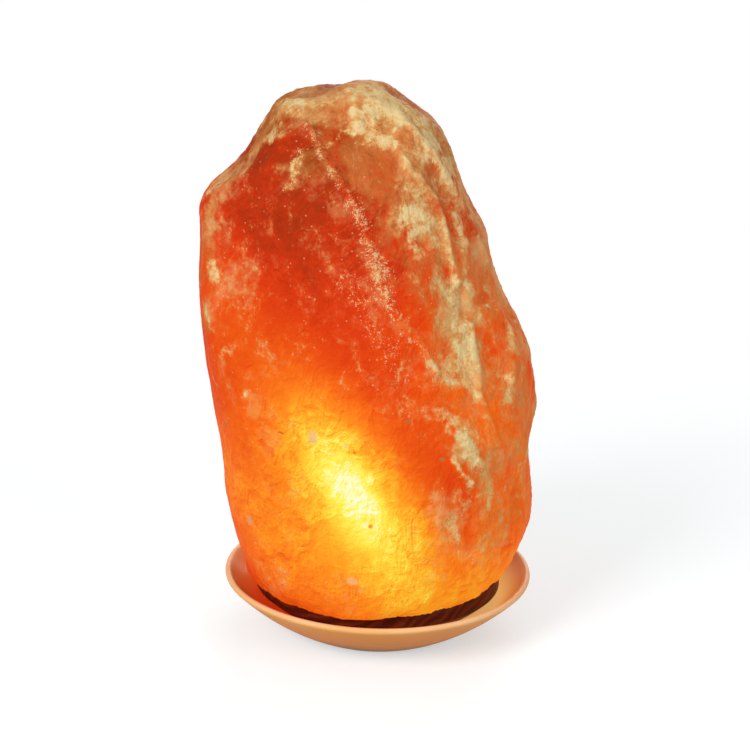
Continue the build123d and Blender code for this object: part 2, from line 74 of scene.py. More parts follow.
# ---- Node trees ---------------------------------------------------------------------------------
class Tree:
    """A node tree, and short ways to add its nodes."""

    def __init__(self, tree):
        self.tree = tree

    def feed(self, socket, value):
        """Gives a socket a plain value or a colour, or links it to another node's output."""
        if not isinstance(value, (int, float, tuple, str)):
            self.tree.links.new(value, socket)
        else:
            socket.default_value = (*linear(value), 1) if socket.type == "RGBA" else value

    def node(self, kind, inputs=(), **settings):
        """Adds a node with its settings, and feeds the inputs that are given by name or number."""
        node = self.tree.nodes.new(kind)
        for key, value in settings.items():
            setattr(node, key, value)
        for key, value in dict(inputs).items():
            self.feed(node.inputs[key], value)
        return node

    def math(self, operation, a, b=0.0):
        return self.node("ShaderNodeMath", {0: a, 1: b}, operation=operation).outputs[0]

    def chain(self, operation, values):
        total, *rest = values
        for value in rest:
            total = self.math(operation, total, value)
        return total

    def add(self, *values):
        return self.chain("ADD", values)

    def times(self, *values):
        return self.chain("MULTIPLY", values)

    def shares(self, *pairs):
        """Sum of values, each times its share."""
        return self.add(*(self.times(value, share) for value, share in pairs))

    def centred(self, value, gain, middle=0.5):
        """How far a pattern is above its middle, times a gain."""
        return self.times(self.math("SUBTRACT", value, middle), gain)

    def mapped(self, value, low, high, out_low=0.0, out_high=1.0, kind="SMOOTHSTEP"):
        """Takes low..high to out_low..out_high, with soft ends unless told otherwise."""
        ends = enumerate((value, low, high, out_low, out_high))
        return self.node("ShaderNodeMapRange", ends, interpolation_type=kind).outputs[0]

    def vector(self, operation, *inputs, out="Vector"):
        node = self.node("ShaderNodeVectorMath", enumerate(inputs), operation=operation)
        return node.outputs[out]

    def scaled(self, vector, scale):
        inputs = {0: vector, "Scale": scale}
        return self.node("ShaderNodeVectorMath", inputs, operation="SCALE").outputs[0]

    def split(self, vector):
        return self.node("ShaderNodeSeparateXYZ", {0: vector}).outputs

    def noise(self, scale, detail=2.0, rough=0.5, warp=0.0, at=None, kind="FBM", out=0):
        return self.node("ShaderNodeTexNoise", {
            "Vector": at or self.place, "Scale": scale, "Detail": detail, "Roughness": rough,
            "Distortion": warp,
        }, noise_type=kind).outputs[out]

    def cells(self, scale, at=None, feature="F1", **more):
        inputs = {"Vector": at or self.place, "Scale": scale, **more}
        return self.node("ShaderNodeTexVoronoi", inputs, feature=feature).outputs

    def mix(self, factor, a, b):
        """Blend of two colours; the node keeps its colours in sockets 6 and 7."""
        inputs = {0: factor, 6: a, 7: b}
        return self.node("ShaderNodeMix", inputs, data_type="RGBA").outputs[2]


class Finish(Tree):
    """A material with one Principled shader; its patterns lie on the piece's own coordinates."""

    def __init__(self, name, **settings):
        self.material = bpy.data.materials.new(name)
        self.material.use_nodes = True
        super().__init__(self.material.node_tree)
        self.shader = self.tree.nodes["Principled BSDF"]
        self.place = self.node("ShaderNodeTexCoord").outputs["Object"]
        for key, value in settings.items():
            self.to(key.replace("_", " "), value)

    def to(self, name, value):
        self.feed(self.shader.inputs[name], value)

    def attribute(self, name):
        return self.node("ShaderNodeAttribute", attribute_name=name).outputs["Fac"]

    def stretched(self, scale, turn=(0, 0, 0), move=(0, 0, 0)):
        """The piece's coordinates stretched, turned in degrees and moved in metres."""
        turn = tuple(math.radians(a) for a in turn)
        inputs = {"Vector": self.place, "Scale": scale, "Rotation": turn, "Location": move}
        return self.node("ShaderNodeMapping", inputs).outputs[0]

    def ramp(self, value, *stops):
        """Colour ramp; each stop is a place and a colour."""
        node = self.node("ShaderNodeValToRGB", {0: value})
        points = node.color_ramp.elements
        while len(points) < len(stops):
            points.new(1.0)
        for point, (where, colour) in zip(points, stops):
            point.position = where
            point.color = (*linear(colour), 1)
        return node.outputs[0]

    def bump(self, height, depth, strength):
        """Normal that follows a height; the depth is in metres."""
        inputs = {"Height": height, "Distance": depth, "Strength": strength}
        return self.node("ShaderNodeBump", inputs).outputs[0]


class Recipe(Tree):
    """A Geometry Nodes tree with named sizes, which ends in mesh with a finish."""

    def __init__(self, name, sizes):
        super().__init__(bpy.data.node_groups.new(name, "GeometryNodeTree"))
        self.socket("Geometry", "Geometry")
        self.sizes = []
        for key, value in sizes.items():
            socket = self.socket(key, "Float")
            socket.default_value = value
            self.sizes.append((socket.identifier, value))
        self.paint = self.socket("Finish", "Material").identifier
        self.socket("Geometry", "Geometry", "OUTPUT")
        self.given = self.node("NodeGroupInput").outputs

    def socket(self, name, kind, way="INPUT"):
        return self.tree.interface.new_socket(name, in_out=way, socket_type="NodeSocket" + kind)

    def position(self):
        return self.node("GeometryNodeInputPosition").outputs[0]

    def named(self, name):
        node = self.node("GeometryNodeInputNamedAttribute", {0: name}, data_type="FLOAT")
        return node.outputs[0]

    def combine(self, *values):
        return self.node("ShaderNodeCombineXYZ", enumerate(values)).outputs[0]

    def shift(self, geometry, offset):
        inputs = {"Geometry": geometry, "Offset": offset}
        return self.node("GeometryNodeSetPosition", inputs).outputs[0]

    def end(self, geometry):
        real = self.node("GeometryNodeRealizeInstances", {0: geometry}).outputs[0]
        inputs = {0: real, "Material": self.given["Finish"]}
        dressed = self.node("GeometryNodeSetMaterial", inputs).outputs[0]
        self.node("NodeGroupOutput", {0: dressed})
        return self

    def work(self, piece, finish):
        """Runs the tree on a piece and leaves plain mesh."""
        worker = piece.modifiers.new("worker", "NODES")
        worker.node_group = self.tree
        for identifier, value in self.sizes:
            worker[identifier] = value
        worker[self.paint] = finish
        settle(piece)


# ---- Camera, floor and light --------------------------------------------------------------------
CAMERA_PLACE = (-0.0035, -1.0599, 0.4841)
CAMERA_LENS = 111.84  # mm, on a sensor 36 mm wide
LOOK_DOWN, ROLL = 18.6, 1.3  # degrees
LIT_POINT = (0, 0, 0.12)  # middle of the stone, which the studio lamps face
FLOOR_REACH = 6.0
SHADOW_FADE = (0.14, 0.55)  # distances from the lamp between which the floor turns plain white


def place_camera():
    """Looks down at the lamp a little, from about a metre in front."""
    camera = new_object("camera", bpy.data.cameras.new("camera"))
    camera.data.sensor_width = 36.0
    camera.data.lens = CAMERA_LENS
    camera.data.clip_start = 0.05
    tilt = Matrix.Rotation(math.radians(90 - LOOK_DOWN), 4, "X")
    roll = Matrix.Rotation(math.radians(ROLL), 4, "Z")
    camera.matrix_world = Matrix.Translation(CAMERA_PLACE) @ tilt @ roll
    bpy.context.scene.camera = camera


def background_rays(t):
    """1 for rays that look at the background directly, in a gloss or through glass."""
    path = t.node("ShaderNodeLightPath").outputs
    return t.chain("MAXIMUM", [path[f"Is {k} Ray"] for k in ("Camera", "Glossy", "Transmission")])


def light_world(level):
    """Even light from all round, in front of a white background."""
    world = bpy.data.worlds.new("studio")
    world.use_nodes = True
    t = Tree(world.node_tree)
    t.tree.nodes.clear()
    dim, full = (
        t.node("ShaderNodeBackground", {"Color": WHITE, "Strength": s}).outputs[0]
        for s in (level, 1.0)
    )
    mix = t.node("ShaderNodeMixShader", enumerate((background_rays(t), dim, full)))
    t.node("ShaderNodeOutputWorld", {0: mix.outputs[0]})
    bpy.context.scene.world = world


def soft_lamp(name, place, size, power):
    """Square area lamp that faces the middle of the stone."""
    data = bpy.data.lights.new(name, "AREA")
    data.size = size
    data.energy = power
    lamp = new_object(name, data)
    lamp.location = place
    lamp.rotation_euler = (Vector(LIT_POINT) - Vector(place)).to_track_quat("-Z", "Y").to_euler()


def make_floor():
    """Wide white floor that keeps the lamp's shadow."""
    mesh = bpy.data.meshes.new("floor")
    ways = ((-1, -1), (1, -1), (1, 1), (-1, 1))
    corners = [(x * FLOOR_REACH, y * FLOOR_REACH, 0) for x, y in ways]
    mesh.from_pydata(corners, [], [(0, 1, 2, 3)])
    material = bpy.data.materials.new("floor_white")
    material.use_nodes = True
    t = Tree(material.node_tree)
    t.tree.nodes.clear()
    place = t.node("ShaderNodeTexCoord").outputs["Object"]
    fade = t.mapped(t.vector("LENGTH", place, out="Value"), *SHADOW_FADE)
    paint = t.node("ShaderNodeBsdfDiffuse", {"Color": t.mix(fade, (0.59, 0.62, 0.63), BLACK)})
    lift = t.node("ShaderNodeEmission", {
        "Color": t.mix(fade, (0.47, 0.48, 0.485), WHITE), "Strength": background_rays(t),
    })
    both = t.node("ShaderNodeAddShader", enumerate((paint.outputs[0], lift.outputs[0])))
    t.node("ShaderNodeOutputMaterial", {0: both.outputs[0]})
    mesh.materials.append(material)
    new_object("floor", mesh)


# ---- Materials ----------------------------------------------------------------------------------
# Colour of the clear salt against how much light comes through it, from the dark crown to the
# spot in front of the bulb.
GLOW_COLOURS = (
    (0.10, "A02008"), (0.15, "BC2C09"), (0.19, "D0340A"), (0.23, "DC3C0C"), (0.29, "E64B0E"),
    (0.38, "F26212"), (0.47, "FA7A1A"), (0.57, "FF941E"), (0.68, "FFB028"), (0.79, "FFD038"),
    (0.86, "FFE448"), (0.93, "FFF45C"), (0.97, "FFFA84"), (1.0, "FFFFE0"),
)
# Specks and inclusions in the front of the stone: place in mm, radii across and up, colour.
INCLUSIONS = (
    ((-31, -65, 119), 2.2, 3.6, "C99A72"),
    ((-46, -58, 118), 1.4, 0.6, "A8521C"),
    ((-73, -29, 112), 1.3, 1.3, "9A6A3A"),
    ((-61, -43, 68), 1.7, 2.6, "C08A66"),
    ((12, -69, 129), 1.0, 1.2, "96603A"),
    ((28, -67, 110), 1.4, 1.1, "9C6C40"),
    ((-12, -73, 51), 2.6, 2.0, "D69A6C"),
    ((-4, -74, 79), 1.3, 1.0, "D0601C"),
    ((-12, -71, 114), 0.8, 0.8, "C8581C"),
    ((48, -52, 101), 0.7, 2.2, "7A4436"),
    ((50, -51, 97), 0.8, 1.6, "6E4034"),
    ((-16, -70, 117), 1.4, 1.0, "E8A868"),
)
HEART = (0.28, 0.030, 0.004)  # what the clear salt sends back of the light that falls on it
CREASE_LIGHT_WAY = (-0.68, -0.12, 0.72)  # painted shading: bumped creases that face this way are painted brighter in the glow, those facing away darker


def salt_finish():
    """Clear orange salt lit from inside by a painted glow, with painted crease shading and painted
    glints, veils, milky clouds, frost, grains and cracks.
    """
    f = Finish("salt_glow", IOR=1.2, Specular_IOR_Level=0.14, Roughness=0.6, Emission_Strength=1.0)
    light, frost, vein, stain, milk, thin, relief, edge = map(
        f.attribute, ("light", "frost", "vein", "stain", "milk", "thin", "relief", "edge"))
    centred = f.centred

    clouds = f.noise(30, 5, 0.6, 0.8)
    patches = f.noise(95, 6, 0.65, 0.6)
    grain = f.noise(240, 7, 0.74, 0.6)
    grit = f.noise(640, 4, 0.7, 0.3)
    dust = f.noise(1500, 3, 0.6)
    streaks = f.noise(60, 8, 0.72, 1.2, f.stretched((1.0, 1.0, 0.42), (0, 18, 0)))
    foil = f.noise(80, 5, 0.60, 1.8, f.stretched((1.0, 1.0, 0.62), (0, -48, 0)))
    web = f.noise(62, 6, 0.6, 0.5, f.stretched((1.0, 1.0, 0.8), (0, 24, 0)), "RIDGED_MULTIFRACTAL")
    sway = f.vector("SUBTRACT", f.noise(45, 4, 0.6, out="Color"), (0.5, 0.5, 0.5))
    bent = f.vector("ADD", f.place, f.scaled(sway, 0.030))
    chips = f.cells(150, f.vector("MULTIPLY", bent, (1.0, 1.0, 1.35)))
    flakes = f.cells(290, f.vector("MULTIPLY", bent, (0.7, 1.0, 1.2)))

    height = f.shares((foil, 0.85), (grain, 0.26), (grit, 0.07), (chips["Distance"], 0.25),
                      (flakes["Distance"], 0.10))
    normal = f.bump(height, 0.0026, 0.85)
    smooth = f.node("ShaderNodeNewGeometry").outputs["Normal"]
    # Painted shading: how much further a bumped crease turns towards the given way than the smooth
    # surface does.
    tilt = f.math("SUBTRACT", *(
        f.vector("DOT_PRODUCT", facing, CREASE_LIGHT_WAY, out="Value") for facing in (normal, smooth)))

    # Clear salt: colour by how much light comes through, with painted light and shade that brighten
    # or darken the glow on creases, hollows and edges.
    glare = f.times(f.mapped(light, 0.28, 0.74, 0.22, 1.0),
                    f.mapped(clouds, 0.35, 0.62, 0.45, 1.15))
    painted_crease_light = f.add(
        f.times(tilt, 0.30), centred(chips["Color"], 0.13), centred(flakes["Color"], 0.12),
        f.times(f.mapped(web, 0.7, 2.0), 0.07), f.times(edge, 0.09), centred(patches, 0.24),
        centred(grain, 0.10),
    )
    to_the_right = f.mapped(f.split(f.place)["X"], 0.016, 0.044)
    heat = f.add(light, f.times(painted_crease_light, glare), f.times(relief, 0.016), centred(clouds, 0.18),
                 centred(patches, 0.06), f.times(centred(streaks, 0.34), to_the_right), -0.02)
    glow = f.ramp(heat, *(
        (place, tuple(max(c - h, 0.0) for c, h in zip(linear(colour), HEART)))
        for place, colour in GLOW_COLOURS))

    # Veils, milky clouds and frost over it, whose edges break up into streaks and grains.
    lit = f.mapped(light, 0.36, 0.60)
    cloudy = f.add(centred(clouds, 1.7), centred(streaks, 1.4), centred(grain, 0.9),
                   f.times(lit, -0.35))
    haze = f.mapped(f.add(stain, f.times(cloudy, 0.8)), 0.10, 0.80)
    film = f.mapped(f.add(thin, f.times(cloudy, 0.75), f.times(relief, 0.05)), 0.05, 1.0)
    milky = f.add(milk, centred(patches, 2.2), centred(grain, 1.4), centred(clouds, 1.2))
    milky = f.mapped(milky, 0.25, 0.95)
    broken = f.add(
        frost, centred(grain, 1.8), centred(streaks, 2.0), centred(patches, 1.2),
        centred(dust, 0.5), f.times(edge, 0.30), f.times(relief, 0.04), f.times(lit, -0.28),
    )
    cover = f.mapped(broken, 0.12, 0.88)
    crust = f.ramp(f.add(broken, centred(grit, 1.1)), (0.20, "C4823F"), (0.45, "CF9A58"),
                   (0.72, "D6AE70"), (1.0, "DFC68E"))
    dried = f.ramp(f.add(clouds, centred(patches, 0.7), centred(grit, 0.4)), (0.34, "C0703A"),
                   (0.50, "D29256"), (0.68, "DDAE76"))
    gritty = f.add(f.times(vein, 0.64), centred(dust, 2.4), centred(grit, 2.2), centred(grain, 1.3))
    gritty = f.times(f.mapped(gritty, 0.40, 0.80), f.mapped(vein, 0.0, 0.3))

    def flecks(scale, size, share):
        """Round flecks in those of a pattern's cells whose draw is above the share."""
        dot = f.cells(scale)
        return f.times(
            f.mapped(f.add(dot["Distance"], centred(dust, 0.25)), size * 0.5, size, 1.0, 0.0),
            f.mapped(f.add(dot["Color"], centred(clouds, 1.6)), share, share + 0.05),
        )

    # Painted glints: pale specks that stand in for the sparkle of tiny facets.
    painted_glint_specks = f.math("MAXIMUM", flecks(420, 0.22, 0.71), flecks(170, 0.09, 0.85))
    grains = f.math("MAXIMUM", gritty, f.times(painted_glint_specks, 0.5))

    # Each layer's cover, how much it hides of what is below, its colour and how much it dims.
    body = HEART
    for layer, hides, colour, dims in (
        (haze, 1.0, (0.33, 0.115, 0.024), 0.36),
        (milky, 0.7, (0.42, 0.15, 0.050), 0.24),
        (film, 0.92, dried, 0.70),
        (cover, 1.0, crust, 0.70),
        # grains of the vein, together with the painted glint specks
        (grains, 0.9, "E0BB86", 0.85),
    ):
        body = f.mix(f.times(layer, hides), body, colour)
        glow = f.mix(f.times(layer, dims), glow, BLACK)
    for place, across, up, colour in INCLUSIONS:
        shift = f.vector("ADD", f.place, tuple(-c * MM for c in place))
        size = (1 / (across * MM), 1 / (across * MM * 2.5), 1 / (up * MM))
        length = f.vector("LENGTH", f.vector("MULTIPLY", shift, size), out="Value")
        spot = f.mapped(f.add(length, centred(grit, 1.2)), 0.55, 1.25, 0.75, 0.0)
        body = f.mix(spot, body, colour)
        glow = f.mix(spot, glow, tuple(0.35 * c for c in linear(colour)))
    f.to("Base Color", body)
    f.to("Emission Color", glow)
    f.to("Normal", normal)
    return f.material


def glaze_finish():
    """Peach glazing with painted light: a painted highlight pale on the rim, painted shade brown
    towards the foot, and inside a painted glow for the light of the lit stone and the lamps.
    """
    f = Finish("peach_glaze", Roughness=0.5, Specular_IOR_Level=0.0, Coat_Weight=0.2,
               Coat_Roughness=0.2, Emission_Strength=1.0)
    x, _, z = f.split(f.place)
    height = f.mapped(f.add(z, f.centred(f.noise(22, 3), 0.006)), 0.0, 0.028, kind="LINEAR")
    # Painted light by height: browner towards the foot as painted shade, paler on the rim as a
    # painted highlight.
    glaze_with_painted_light = f.ramp(height, (0.0, "8A5A1C"), (0.20, "BC7A2C"), (0.45, "E88F40"), (0.80, "EC9A4A"),
                   (0.94, "E8A864"), (1.0, "EABA88"))
    cloud = f.mapped(f.noise(60, 4, 0.6), 0.35, 0.75)
    f.to("Base Color", f.mix(f.times(cloud, 0.15), glaze_with_painted_light, "CE8844"))
    # Painted glow inside: deep red on the left stands in for the stone's light, peach on the right
    # for the lamps' light.
    painted_glow = f.mix(f.mapped(x, -0.045, 0.045), (0.42, 0.010, 0.0), (0.60, 0.34, 0.11))
    f.to("Emission Color", f.mix(f.attribute("painted_glow"), BLACK, painted_glow))
    f.to("Normal", f.bump(f.noise(120, 2, 0.4), 0.0002, 0.35))
    return f.material


def wood_finish():
    """Dark reddish-brown stained wood with fine curved growth rings and pores."""
    f = Finish("dark_wood", Roughness=0.5, IOR=1.3, Specular_IOR_Level=0.3)
    lie = (0, 24, 8)  # degrees that the growth rings are turned
    rings = f.node("ShaderNodeTexWave", {
        "Vector": f.stretched((1, 1, 1), lie, (0.0, 0.02, 0.05)), "Scale": 75, "Distortion": 7.0,
        "Detail": 4.0, "Detail Scale": 1.0,
    }, wave_type="RINGS", rings_direction="X").outputs["Fac"]
    fibre = f.noise(420, 5, 0.7, 0.2, f.stretched((0.08, 1, 1), lie))
    shading = f.noise(45, 4, 0.6, 0.5, f.stretched((0.3, 1, 1), lie))
    figure = f.shares((rings, 0.34), (fibre, 0.45), (shading, 0.38))
    f.to("Base Color", f.ramp(
        figure, (0.30, (0.040, 0.004, 0.001)), (0.55, (0.068, 0.008, 0.002)),
        (0.75, (0.100, 0.015, 0.004)), (0.95, (0.170, 0.038, 0.010)),
    ))
    f.to("Normal", f.bump(fibre, 0.0003, 0.4))
    return f.material


def metal_finish(name, colour, rough, brushed=(1, 1, 1), stain=None):
    """Metal with fine brush marks along one direction, and dull patches where it's stained."""
    f = Finish(name, Metallic=1.0)
    marks = f.noise(900, 4, 0.6, 0.0, f.stretched(brushed))
    dull = f.mapped(f.noise(140, 4, 0.6, 0.4), 0.42, 0.68)
    f.to("Base Color", f.mix(f.times(dull, 0.5), colour, stain or tuple(0.72 * c for c in colour)))
    f.to("Roughness", f.add(rough, f.times(dull, 0.16), f.times(marks, 0.12)))
    f.to("Normal", f.bump(marks, 0.00008, 0.5))
    return f.material


def plain_finish(name, colour, rough, scale=500, depth=0.00006):
    """Moulded or cast surface of one colour with a fine grain and faint worn patches."""
    f = Finish(name, IOR=1.45)
    clouds = f.mapped(f.noise(90, 4, 0.6, 0.4), 0.35, 0.7)
    f.to("Base Color", f.mix(f.times(clouds, 0.12), colour, tuple(0.6 * c + 0.02 for c in colour)))
    f.to("Roughness", f.add(rough, f.times(clouds, 0.10)))
    f.to("Normal", f.bump(f.noise(scale, 3, 0.6), depth, 0.6))
    return f.material


def glass_finish():
    """Thin clear glass, very slightly uneven."""
    f = Finish("clear_bulb_glass", Base_Color=(1.0, 0.985, 0.96), IOR=1.3, Transmission_Weight=1.0)
    f.to("Roughness", f.times(f.mapped(f.noise(60, 3), 0.4, 0.8), 0.03))
    return f.material


def filament_finish():
    """Glowing tungsten, whitest in the middle of its length."""
    f = Finish("glowing_tungsten", Base_Color=(0.35, 0.30, 0.26), Metallic=1.0, Roughness=0.4,
               Emission_Strength=4.0)
    from_middle = f.math("ABSOLUTE", f.split(f.place)["X"])
    middle = f.mapped(from_middle, 0.0045, 0.0072, 1.0, 0.0)
    f.to("Emission Color", f.mix(middle, (0.8, 0.16, 0.02), (1.0, 0.72, 0.34)))
    return f.material


# ---- Meshes -------------------------------------------------------------------------------------
def object_of(work, name):
    """New object from a bmesh, which is freed."""
    mesh = bpy.data.meshes.new(name)
    work.to_mesh(mesh)
    work.free()
    return new_object(name, mesh)


def welded_copy(node, name):
    """Copy of a CAD node's shape as a new object, with its doubled points merged."""
    work = bmesh.new()
    work.from_mesh(NODES[node].data)
    bmesh.ops.remove_doubles(work, verts=work.verts, dist=1e-6)
    return object_of(work, name)


def settle(piece):
    """Turns a piece's modifiers into plain mesh."""
    bpy.context.view_layer.update()
    graph = bpy.context.evaluated_depsgraph_get()
    mesh = bpy.data.meshes.new_from_object(piece.evaluated_get(graph))
    piece.modifiers.clear()
    old, piece.data = piece.data, mesh
    bpy.data.meshes.remove(old)
    mesh.name = piece.name


def declare(piece, body, node):
    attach(piece, body)
    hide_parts(node)


def points_of(mesh, what="co"):
    """A mesh's points, or their normals, as rows of three."""
    flat = np.empty(len(mesh.vertices) * 3)
    mesh.vertices.foreach_get(what, flat)
    return flat.reshape(-1, 3)


def move_points(mesh, points):
    mesh.vertices.foreach_set("co", points.ravel())
    mesh.update()


def crest_of(mesh, points, normal):
    """How far each point stands out from its neighbours, along its normal."""
    ends = np.empty(len(mesh.edges) * 2, dtype=np.int64)
    mesh.edges.foreach_get("vertices", ends)
    a, b = ends.reshape(-1, 2).T
    count = np.bincount(ends, minlength=len(points))[:, None]

    def around(values):
        total = [np.bincount(a, column[b], len(values)) + np.bincount(b, column[a], len(values))
                 for column in values.T]
        return np.array(total).T / count

    near = around(around(points))
    return around(((points - near) * normal).sum(1)[:, None])[:, 0]


def store(mesh, name, values):
    layer = mesh.attributes.new(name, "FLOAT", "POINT")
    layer.data.foreach_set("value", np.asarray(values, float))


def step(low, high, value):
    """Soft step from 0 at low to 1 at high."""
    t = np.clip((value - low) / (high - low), 0.0, 1.0)
    return t * t * (3 - 2 * t)


# ---- Salt crystal -------------------------------------------------------------------------------
BASE_TOP = 30.0  # mm, sawn face of the stone
BORE = 22.0
CAVITY_END = 115.0
PLUG_RING = 31.0
PLUG_HOLE = 4.1
PLUG_TOP = BASE_TOP + 28.2
NEAR = 0.6  # mm round the bores that stay as they are
STONE_GRID = 1.33 * MM
SOFTEN_STEPS = 14
EDGE_GAIN, HOLLOW_GAIN, VEIN_GAIN = 1.5, 1.7, 0.35
CHIP_DEPTH = 2.6
# Waves that chip the sawn edge: waves round it, waves that bend them, depth and start.
CHIP_WAVES = ((5, 3, 0.40, 0.4), (13, 5, 0.34, 1.9), (29, 11, 0.16, 0.7), (61, 23, 0.07, 2.2))
# Bells of light in the upright plane: height, centre across and up in mm, half length, half width,
# and the turn of the length in radians.
LEAST_LIGHT = 0.235
SHOULDER, CROWN = (160, 200), (175, 225)  # mm, heights over which the light fades a little
FRONT_TO_REAR = (-22, 26)  # mm, where the rear's light takes over from the front's
FRONT_LIGHT = (
    (0.72, -14.2, 99.2, 47.9, 21.6, -1.0),
    (0.30, -4.4, 49.2, 130.0, 32.8, -0.45),
    (0.085, -75.0, 161.7, 116.3, 21.3, -1.27),
    (0.17, 41.9, 140.8, 130.0, 31.2, 1.86),
    (0.035, 52.0, 80.0, 36.0, 26.0, 1.57),
    (-0.055, 14.0, 188.0, 36.0, 15.0, 2.0),
    (-0.055, 37.0, 82.0, 30.0, 10.0, 1.75),
)
REAR_LIGHT = (
    (0.55, 14.0, 92.0, 44.0, 24.0, 1.1),
    (0.32, 6.0, 56.0, 110.0, 36.0, 0.3),
    (0.12, -75.0, 161.7, 116.3, 24.0, -1.27),
    (0.15, 30.0, 128.0, 110.0, 34.0, 1.6),
)
# Lines that carry both frost and a raised edge.
CROWN_LIP = [(5, -27, 248), (5, -30, 244), (9, -32, 239), (10, -33, 235), (14, -32, 233),
             (16, -32, 230), (20, -31, 225), (22, -31, 222)]
CURL = [(33, -65, 109), (36, -64, 104), (39, -62, 100), (43, -60, 96)]
FLAKE = [(36, -63, 120), (41, -60, 112), (46, -57, 104)]

# Marks on the stone: half width in mm, strength or height in mm, and the points of a line in mm.
# Pale frosted patches and streaks.
FROST = (
    (4.0, 0.8, (-47, -9, 263), (-38, -18, 261), (-32, -17, 264)),
    (2.2, 0.5, (-42, -19, 259), (-49, -17, 255), (-54, -15, 249), (-58, -14, 245)),
    (3.1, 0.9, (-56, -12, 250), (-53, -20, 246)),
    (3.5, 0.5, (-67, -15, 233), (-75, -9, 226), (-79, -10, 222)),
    (2.2, 0.85, (-42, -33, 240), (-43, -35, 236)),
    (1.3, 0.6, (-46, -38, 229), (-42, -38, 231)),
    (2.2, 0.6, (-29, -19, 263), (-23, -12, 268), (-17, -7, 269)),
    (1.8, 0.85, (-26, -14, 267), (-25, -16, 266)),
    (3.1, 0.9, (-17, -15, 266), (-16, -20, 261), (-15, -24, 255)),
    (4.0, 0.85, (-12, -23, 256), (-6, -26, 250), (-1, -27, 248)),
    (1.3, 0.95, (-24, -29, 250), (-22, -27, 252), (-19, -26, 253), (-15, -27, 251),
     (-13, -28, 249)),
    (3.1, 0.5, (-4, -11, 266), (3, -11, 264), (9, -12, 260)),
    (3.5, 0.9, (5, -18, 259), (9, -20, 254), (14, -21, 250), (18, -21, 246)),
    (2.2, 0.8, (18, -21, 246), (23, -21, 238), (27, -20, 231), (30, -19, 225)),
    (1.5, 0.95, *CROWN_LIP),
    (3.1, 0.8, (8, -37, 230), (14, -34, 229), (12, -36, 227)),
    (4.0, 0.9, (7, -43, 218), (14, -39, 218), (19, -37, 215), (23, -36, 212)),
    (1.8, 0.95, (11, -46, 208), (13, -43, 211), (16, -41, 212), (19, -40, 211), (21, -40, 207)),
    (1.8, 0.8, (12, -47, 205), (14, -48, 202)),
    (3.1, 0.65, (21, -41, 203), (26, -36, 206), (29, -38, 196), (25, -42, 193), (28, -41, 190),
     (32, -40, 186)),
    (3.5, 0.8, (29, -43, 182), (33, -42, 176), (35, -43, 171)),
    (4.4, 0.95, (31, -48, 167), (38, -43, 165), (39, -44, 159), (35, -49, 157), (40, -45, 154)),
    (4.0, 0.75, (27, -56, 153), (35, -51, 150), (42, -46, 149)),
    (1.3, 0.95, (40, -42, 163), (41, -44, 155), (43, -46, 147), (42, -49, 143)),
    (2.2, 0.8, (22, -61, 153), (26, -59, 150), (30, -57, 145), (38, -52, 142), (42, -51, 137),
     (44, -51, 134)),
    (2.0, 1.0, (41, -51, 138), (43, -52, 134)),
    (2.0, 0.7, (5, -67, 146), (8, -66, 150), (10, -65, 153)),
    (2.6, 0.65, (26, -65, 133), (31, -63, 129), (30, -65, 125)),
    (2.0, 0.75, (47, -50, 129), (48, -50, 125), (51, -50, 120)),
    (2.2, 0.7, (52, -40, 144), (59, -37, 138), (56, -42, 130)),
    (1.8, 0.55, (47, -37, 160), (51, -36, 156), (49, -40, 150)),
    (0.9, 0.65, (43, -40, 162), (46, -39, 160)),
    (2.0, 0.55, (56, -30, 159), (59, -27, 155), (58, -32, 152)),
    (3.5, 0.8, *FLAKE),
    (0.7, 0.85, *CURL),
    (3.1, 0.75, (37, -64, 91), (42, -60, 88), (39, -63, 86)),
    (1.3, 0.8, (41, -61, 98), (43, -60, 95)),
    (4.0, 0.55, (31, -67, 79), (34, -66, 75), (35, -65, 70)),
    (1.3, 0.55, (37, -64, 82), (39, -63, 78)),
    (1.8, 0.6, (33, -66, 63), (31, -66, 57), (30, -65, 48)),
    (2.0, 0.75, (51, -54, 84), (51, -53, 80)),
    (2.4, 0.65, (59, -46, 73), (62, -41, 64)),
    (0.9, 0.75, (48, -57, 65), (47, -57, 62)),
    (1.3, 0.8, (59, -44, 89), (61, -42, 87)),
    (1.1, 0.7, (64, -36, 83), (65, -34, 80)),
    (2.2, 0.45, (64, -36, 96), (65, -34, 92)),
    (2.6, 0.6, (62, -14, 158), (66, -9, 152)),
    (1.3, 0.5, (71, -17, 105), (72, -14, 91)),
    (2.0, 0.85, (37, -35, 185), (40, -35, 181)),
    (2.0, 0.7, (48, -23, 179), (51, -21, 176)),
    (1.3, 0.8, (48, -29, 174), (50, -27, 172)),
    (1.3, 0.5, (44, -35, 172), (46, -36, 167), (49, -33, 165)),
    (3.1, 0.7, (-79, -21, 186), (-79, -22, 180)),
    (2.0, 0.85, (-84, -19, 164), (-82, -22, 161)),
    (1.5, 0.65, (-80, -22, 132), (-78, -25, 130)),
    (2.2, 0.4, (-74, -32, 147), (-70, -34, 151)),
    (1.3, 0.85, (-64, -42, 132), (-63, -43, 130)),
    (1.8, 0.5, (-62, -33, 191), (-60, -35, 189)),
    (1.8, 0.45, (-57, -42, 157), (-52, -46, 157)),
    (2.2, 0.35, (-49, -50, 149), (-44, -53, 152)),
    (1.3, 0.8, (-39, -30, 248), (-32, -30, 249)),
    (1.3, 0.75, (-25, -30, 248), (-29, -33, 245)),
    (2.2, 0.5, (-13, -73, 53), (-15, -72, 48)),
    (1.8, 0.5, (-62, -42, 71), (-61, -43, 67)),
    (1.8, 0.35, (-50, -56, 84), (-44, -60, 87)),
)
